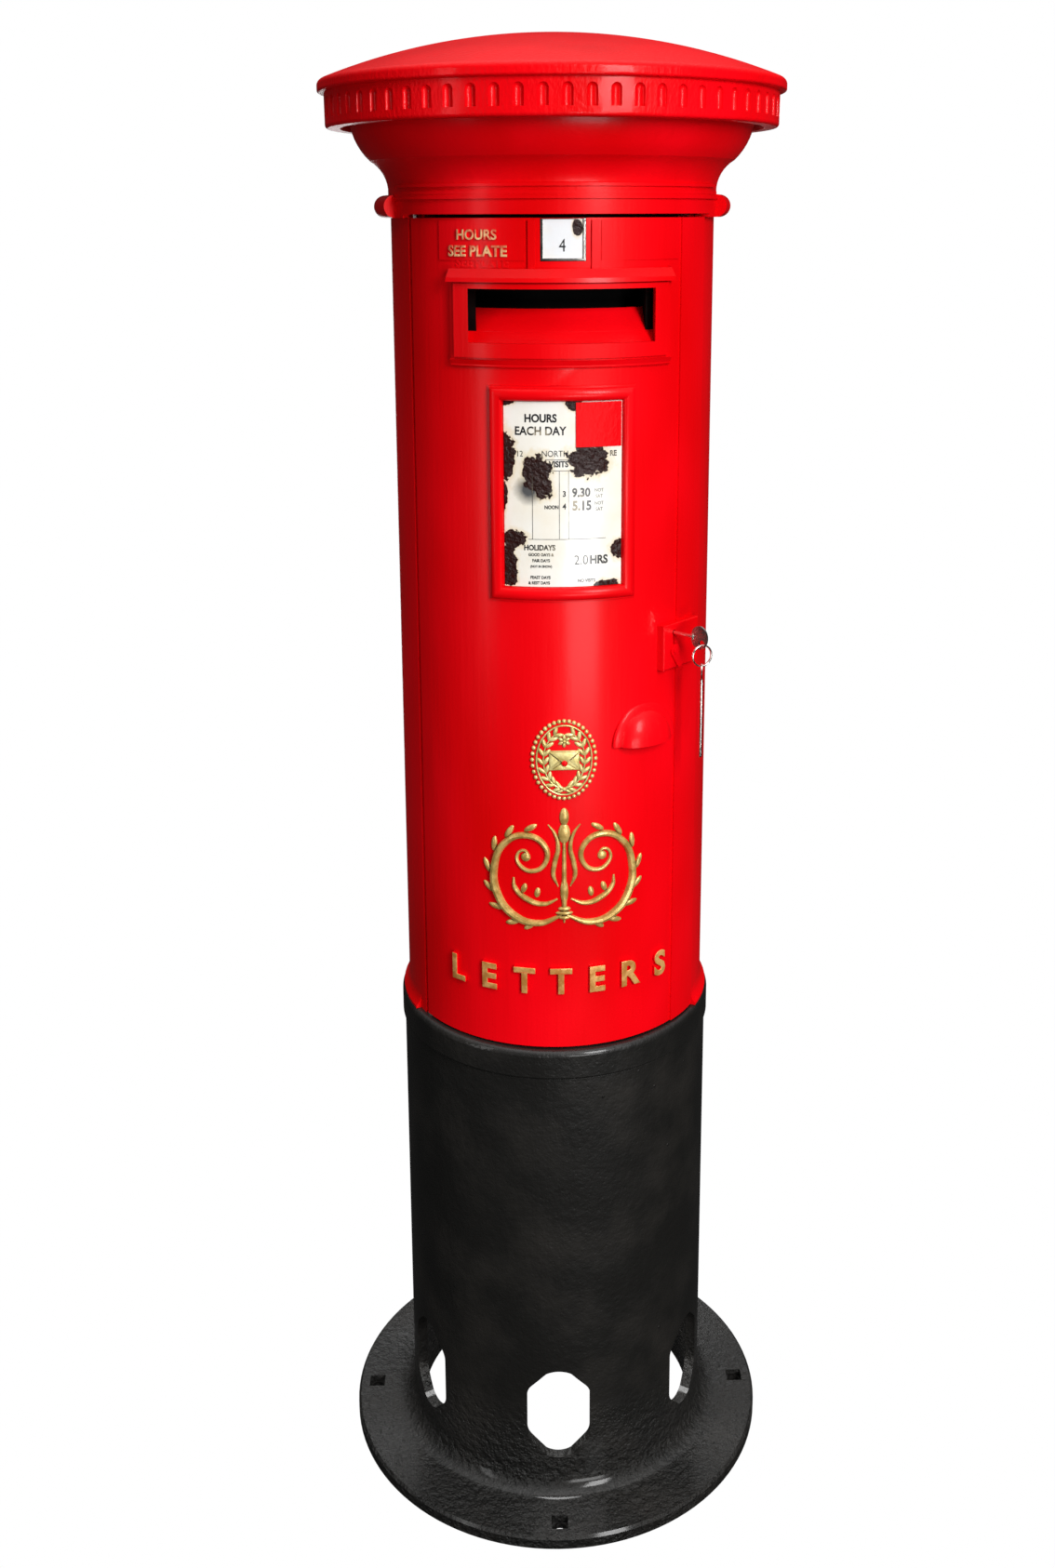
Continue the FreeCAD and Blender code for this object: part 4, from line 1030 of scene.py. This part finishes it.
@dataclass
class NoticePlate:
    """Moulded frame and fired print of the notice plate, and the tablet's numeral. Millimetres."""

    finishes: Finishes
    radius: float
    moulding: float = 22.4
    rise: float = 9.0
    steps: int = 9

    def frame(self) -> None:
        """Builds the mitred half-round moulding."""
        low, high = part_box("notice_frame")
        half = math.asin(high.x / (self.radius + 4 * MM)) * self.radius
        upright = Matrix.Rotation(math.pi / 2, 4, "X")
        work = bmesh.new()
        bmesh.ops.create_grid(work, x_segments=1, y_segments=1, size=0.5, matrix=upright)
        bmesh.ops.scale(work, verts=work.verts, vec=(half * 2, 1, high.z - low.z))
        bmesh.ops.translate(work, verts=work.verts, vec=(0, 0, (high.z + low.z) / 2))
        face = work.faces[:][0]
        if face.normal.y > 0:
            face.normal_flip()
        inset(work, face, 0.0003, 0.0028)
        inset(work, face, 0.0022, 0.0002)
        round_half, lift = (self.moulding - 4.5) / 2 * MM, (self.rise - 3.0) * MM
        for i in range(self.steps):
            a, b = (math.pi * k / self.steps for k in (i, i + 1))
            inset(work, face, round_half * (math.cos(a) - math.cos(b)), lift * (math.sin(b) - math.sin(a)))
        inset(work, face, 0.0003, -0.0029)
        bmesh.ops.delete(work, geom=[face], context="FACES")
        slice_upright(work, MOULDING_SLICE)
        wrap_round(work, self.radius)
        piece("notice_moulding", work, "door", [self.finishes.red], ("notice_frame",), 50)

    def rule(self, work: bmesh.types.BMesh, x: tuple[float, float], z: tuple[float, float]) -> None:
        """Adds a printed rule or bar.

        Args:
            work: The print's mesh.
            x: Its two ends along the surface.
            z: Its lower and upper edge.
        """
        bar = bmesh.new()
        bmesh.ops.create_cube(bar, size=1.0)
        size = ((x[1] - x[0]) * MM, PRINT_THICK, (z[1] - z[0]) * MM)
        middle = ((x[0] + x[1]) / 2 * MM, -PRINT_THICK / 2, (z[0] + z[1]) / 2 * MM)
        bmesh.ops.scale(bar, verts=bar.verts, vec=size)
        bmesh.ops.translate(bar, verts=bar.verts, vec=middle)
        absorb(work, bar)

    def print(self) -> None:
        """Builds the heading, the table of hours and the small print."""
        work = bmesh.new()
        bold, plain, bare, light = Weight.BOLD, Weight.PLAIN, Weight.BARE, Weight.LIGHT
        lines = (
            ("HOURS", -32, 1767, 12.0, bold), ("EACH DAY", -32, 1749, 12.5, plain),
            ("12", -61, 1719, 8, light), ("NORTH", -12, 1719, 8.5, light), ("RE", 72, 1718, 8, bold),
            ("VISITS", -7, 1704, 9.0, bold), ("3", 1, 1662, 8.5, bold), ("4", 1, 1644, 8.5, bold),
            ("NOON", -17, 1644.5, 5.5, bold), ("9.30", 25, 1661, 13.5, bold),
            ("5.15", 26, 1642, 14.0, bold), ("NOT", 51, 1668, 4.8, bare), ("SAT", 51, 1659.5, 4.8, bare),
            ("NOT", 51, 1649.5, 4.8, bare), ("SAT", 51, 1641, 4.8, bare),
            ("HOLIDAYS", -34, 1585, 8.2, bold), ("GOOD DAYS &", -32, 1576.5, 4.6, bold),
            ("FAIR DAYS", -32, 1568.0, 4.6, bold), ("(NOT IN SNOW)", -32, 1559.0, 4.6, bold),
            ("FEAST DAYS", -33, 1543.5, 4.6, bold), ("& REST DAYS", -35, 1535.5, 4.6, bold),
            ("2.0", 25, 1564, 13.5, Weight.LIGHTEST), ("HRS", 51, 1564, 13.0, bold),
            ("NO VISITS", 33, 1538, 5.0, bold),
        )
        for text, x, foot, height, weight in lines:
            at = (x * MM, foot * MM)
            absorb(work, words(text, height * MM, PRINT_THICK, at, weight.value, 0.88))
        for x, foot in ((-44, 1601), (-6, 1601), (7, 1601)):
            self.rule(work, (x - 0.35, x + 0.35), (foot, 1699))
        for x0, x1, z in ((-50, 61, 1601), (-26, 10, 1699), (-26, 10, 1714.5)):
            self.rule(work, (x0, x1), (z - 0.35, z + 0.35))
        slice_upright(work, SLICE)
        wrap_round(work, -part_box("notice_plate")[0].y + PRINT_GAP)
        piece("notice_print", work, "door", [self.finishes.ink])

    def numeral(self) -> None:
        """Builds the tablet's numeral."""
        work = words("4", 17 * MM, NUMERAL_THICK, (-1 * MM, 2000 * MM), Weight.BARE.value, 0.8)
        wrap_round(work, -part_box("number_tablet")[0].y + PRINT_GAP)
        piece("tablet_numeral", work, "door", [self.finishes.ink])


# ---- studio -------------------------------------------------------------------------
@dataclass
class Studio:
    """Camera, soft lights and a white surround. Metres and degrees; the lens is in millimetres."""

    distance: float = 2.4114
    eye: float = 2.049
    heading: float = -3.5
    pitch: float = 12.754
    roll: float = -0.18
    lens: float = 35.975
    shift: tuple[float, float] = (-0.0165, -0.1369)
    horizon: float = 0.02
    zenith: float = 2.7
    steepness: float = 4.0

    def camera(self) -> None:
        """Sets the camera."""
        data = bpy.data.cameras.new("camera")
        data.lens, data.sensor_width = self.lens, CAMERA_SENSOR
        data.shift_x, data.shift_y = self.shift
        made = bpy.data.objects.new("camera", data)
        turn = math.radians(self.heading)
        place = (math.sin(turn) * self.distance, -math.cos(turn) * self.distance, self.eye)
        aim = Matrix.Rotation(turn, 4, "Z") @ Matrix.Rotation(math.radians(90 - self.pitch), 4, "X")
        tilt = Matrix.Rotation(math.radians(self.roll), 4, "Z")
        made.matrix_world = Matrix.Translation(place) @ aim @ tilt
        bpy.context.scene.collection.objects.link(made)
        bpy.context.scene.camera = made

    def light(self, name: str, place: Triple, target: Triple, size: tuple[float, float],
              power: float) -> None:
        """Adds a soft rectangular light.

        Args:
            name: Its name.
            place: Where it is.
            target: The point that it faces.
            size: Its width and height.
            power: Watts.
        """
        data = bpy.data.lights.new(name, "AREA")
        data.shape, data.size, data.size_y, data.energy = "RECTANGLE", size[0], size[1], power
        made = bpy.data.objects.new(name, data)
        made.location = place
        made.rotation_euler = (Vector(target) - Vector(place)).to_track_quat("-Z", "Y").to_euler()
        bpy.context.scene.collection.objects.link(made)

    def surround(self) -> None:
        """Sets a white backdrop, and a sky that is dark at the horizon and bright overhead."""
        world = bpy.data.worlds.new("studio")
        world.use_nodes = True
        nodes, links = world.node_tree.nodes, world.node_tree.links
        sky = nodes["Background"]
        split = nodes.new("ShaderNodeSeparateXYZ")
        links.new(nodes.new("ShaderNodeTexCoord").outputs["Generated"], split.inputs[0])
        above = nodes.new("ShaderNodeMath")
        above.operation = "MAXIMUM"
        above.inputs[1].default_value = 0.0
        links.new(split.outputs[2], above.inputs[0])
        steep = nodes.new("ShaderNodeMath")
        steep.operation = "POWER"
        steep.inputs[1].default_value = self.steepness
        links.new(above.outputs[0], steep.inputs[0])
        level = nodes.new("ShaderNodeMath")
        level.operation = "MULTIPLY_ADD"
        level.inputs[1].default_value, level.inputs[2].default_value = self.zenith, self.horizon
        links.new(steep.outputs[0], level.inputs[0])
        links.new(level.outputs[0], sky.inputs["Strength"])
        backdrop = nodes.new("ShaderNodeBackground")
        for node in (sky, backdrop):
            node.inputs["Color"].default_value = (1.0, 1.0, 1.0, 1.0)
        mix = nodes.new("ShaderNodeMixShader")
        links.new(nodes.new("ShaderNodeLightPath").outputs["Is Camera Ray"], mix.inputs[0])
        links.new(sky.outputs[0], mix.inputs[1])
        links.new(backdrop.outputs[0], mix.inputs[2])
        links.new(mix.outputs[0], nodes["World Output"].inputs[0])
        bpy.context.scene.world = world
        bpy.context.scene.view_settings.view_transform = "Standard"

    def build(self) -> None:
        """Builds the studio."""
        self.camera()
        self.surround()
        self.light("key", (1.7, -3.4, 3.2), (0.05, 0, 1.4), (1.0, 2.0), 150)
        self.light("fill", (-3.0, -2.4, 1.8), (0, 0, 1.2), (0.6, 2.6), 17)
        self.light("low", (0.9, -3.0, 0.8), (0, 0, 0.5), (1.2, 0.8), 30)
        self.light("back", (0.0, 3.4, 1.0), (0, 0, 1.2), (1.6, 2.0), 22)
        self.light("in_root", (0, 0, 0.7), (0, 0.001, 0), (0.3, 0.3), 6)


def main() -> None:
    """Loads the frame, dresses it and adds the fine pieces."""
    logging.basicConfig(level=logging.INFO, format="%(message)s")
    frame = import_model()
    Studio().build()
    finishes = Finishes()
    Ironwork(finishes, frame["nodes"]).dress()
    radius = -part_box("notice_plate")[0].y + PLATE_RECESS
    Crest(finishes, radius).build()
    Scrollwork(finishes, radius).build()
    lettering = RaisedWords(finishes, radius)
    lettering.bottom_word()
    lettering.small_words()
    notice = NoticePlate(finishes, radius)
    notice.frame()
    notice.print()
    notice.numeral()


if __name__ == "__main__":
    main()
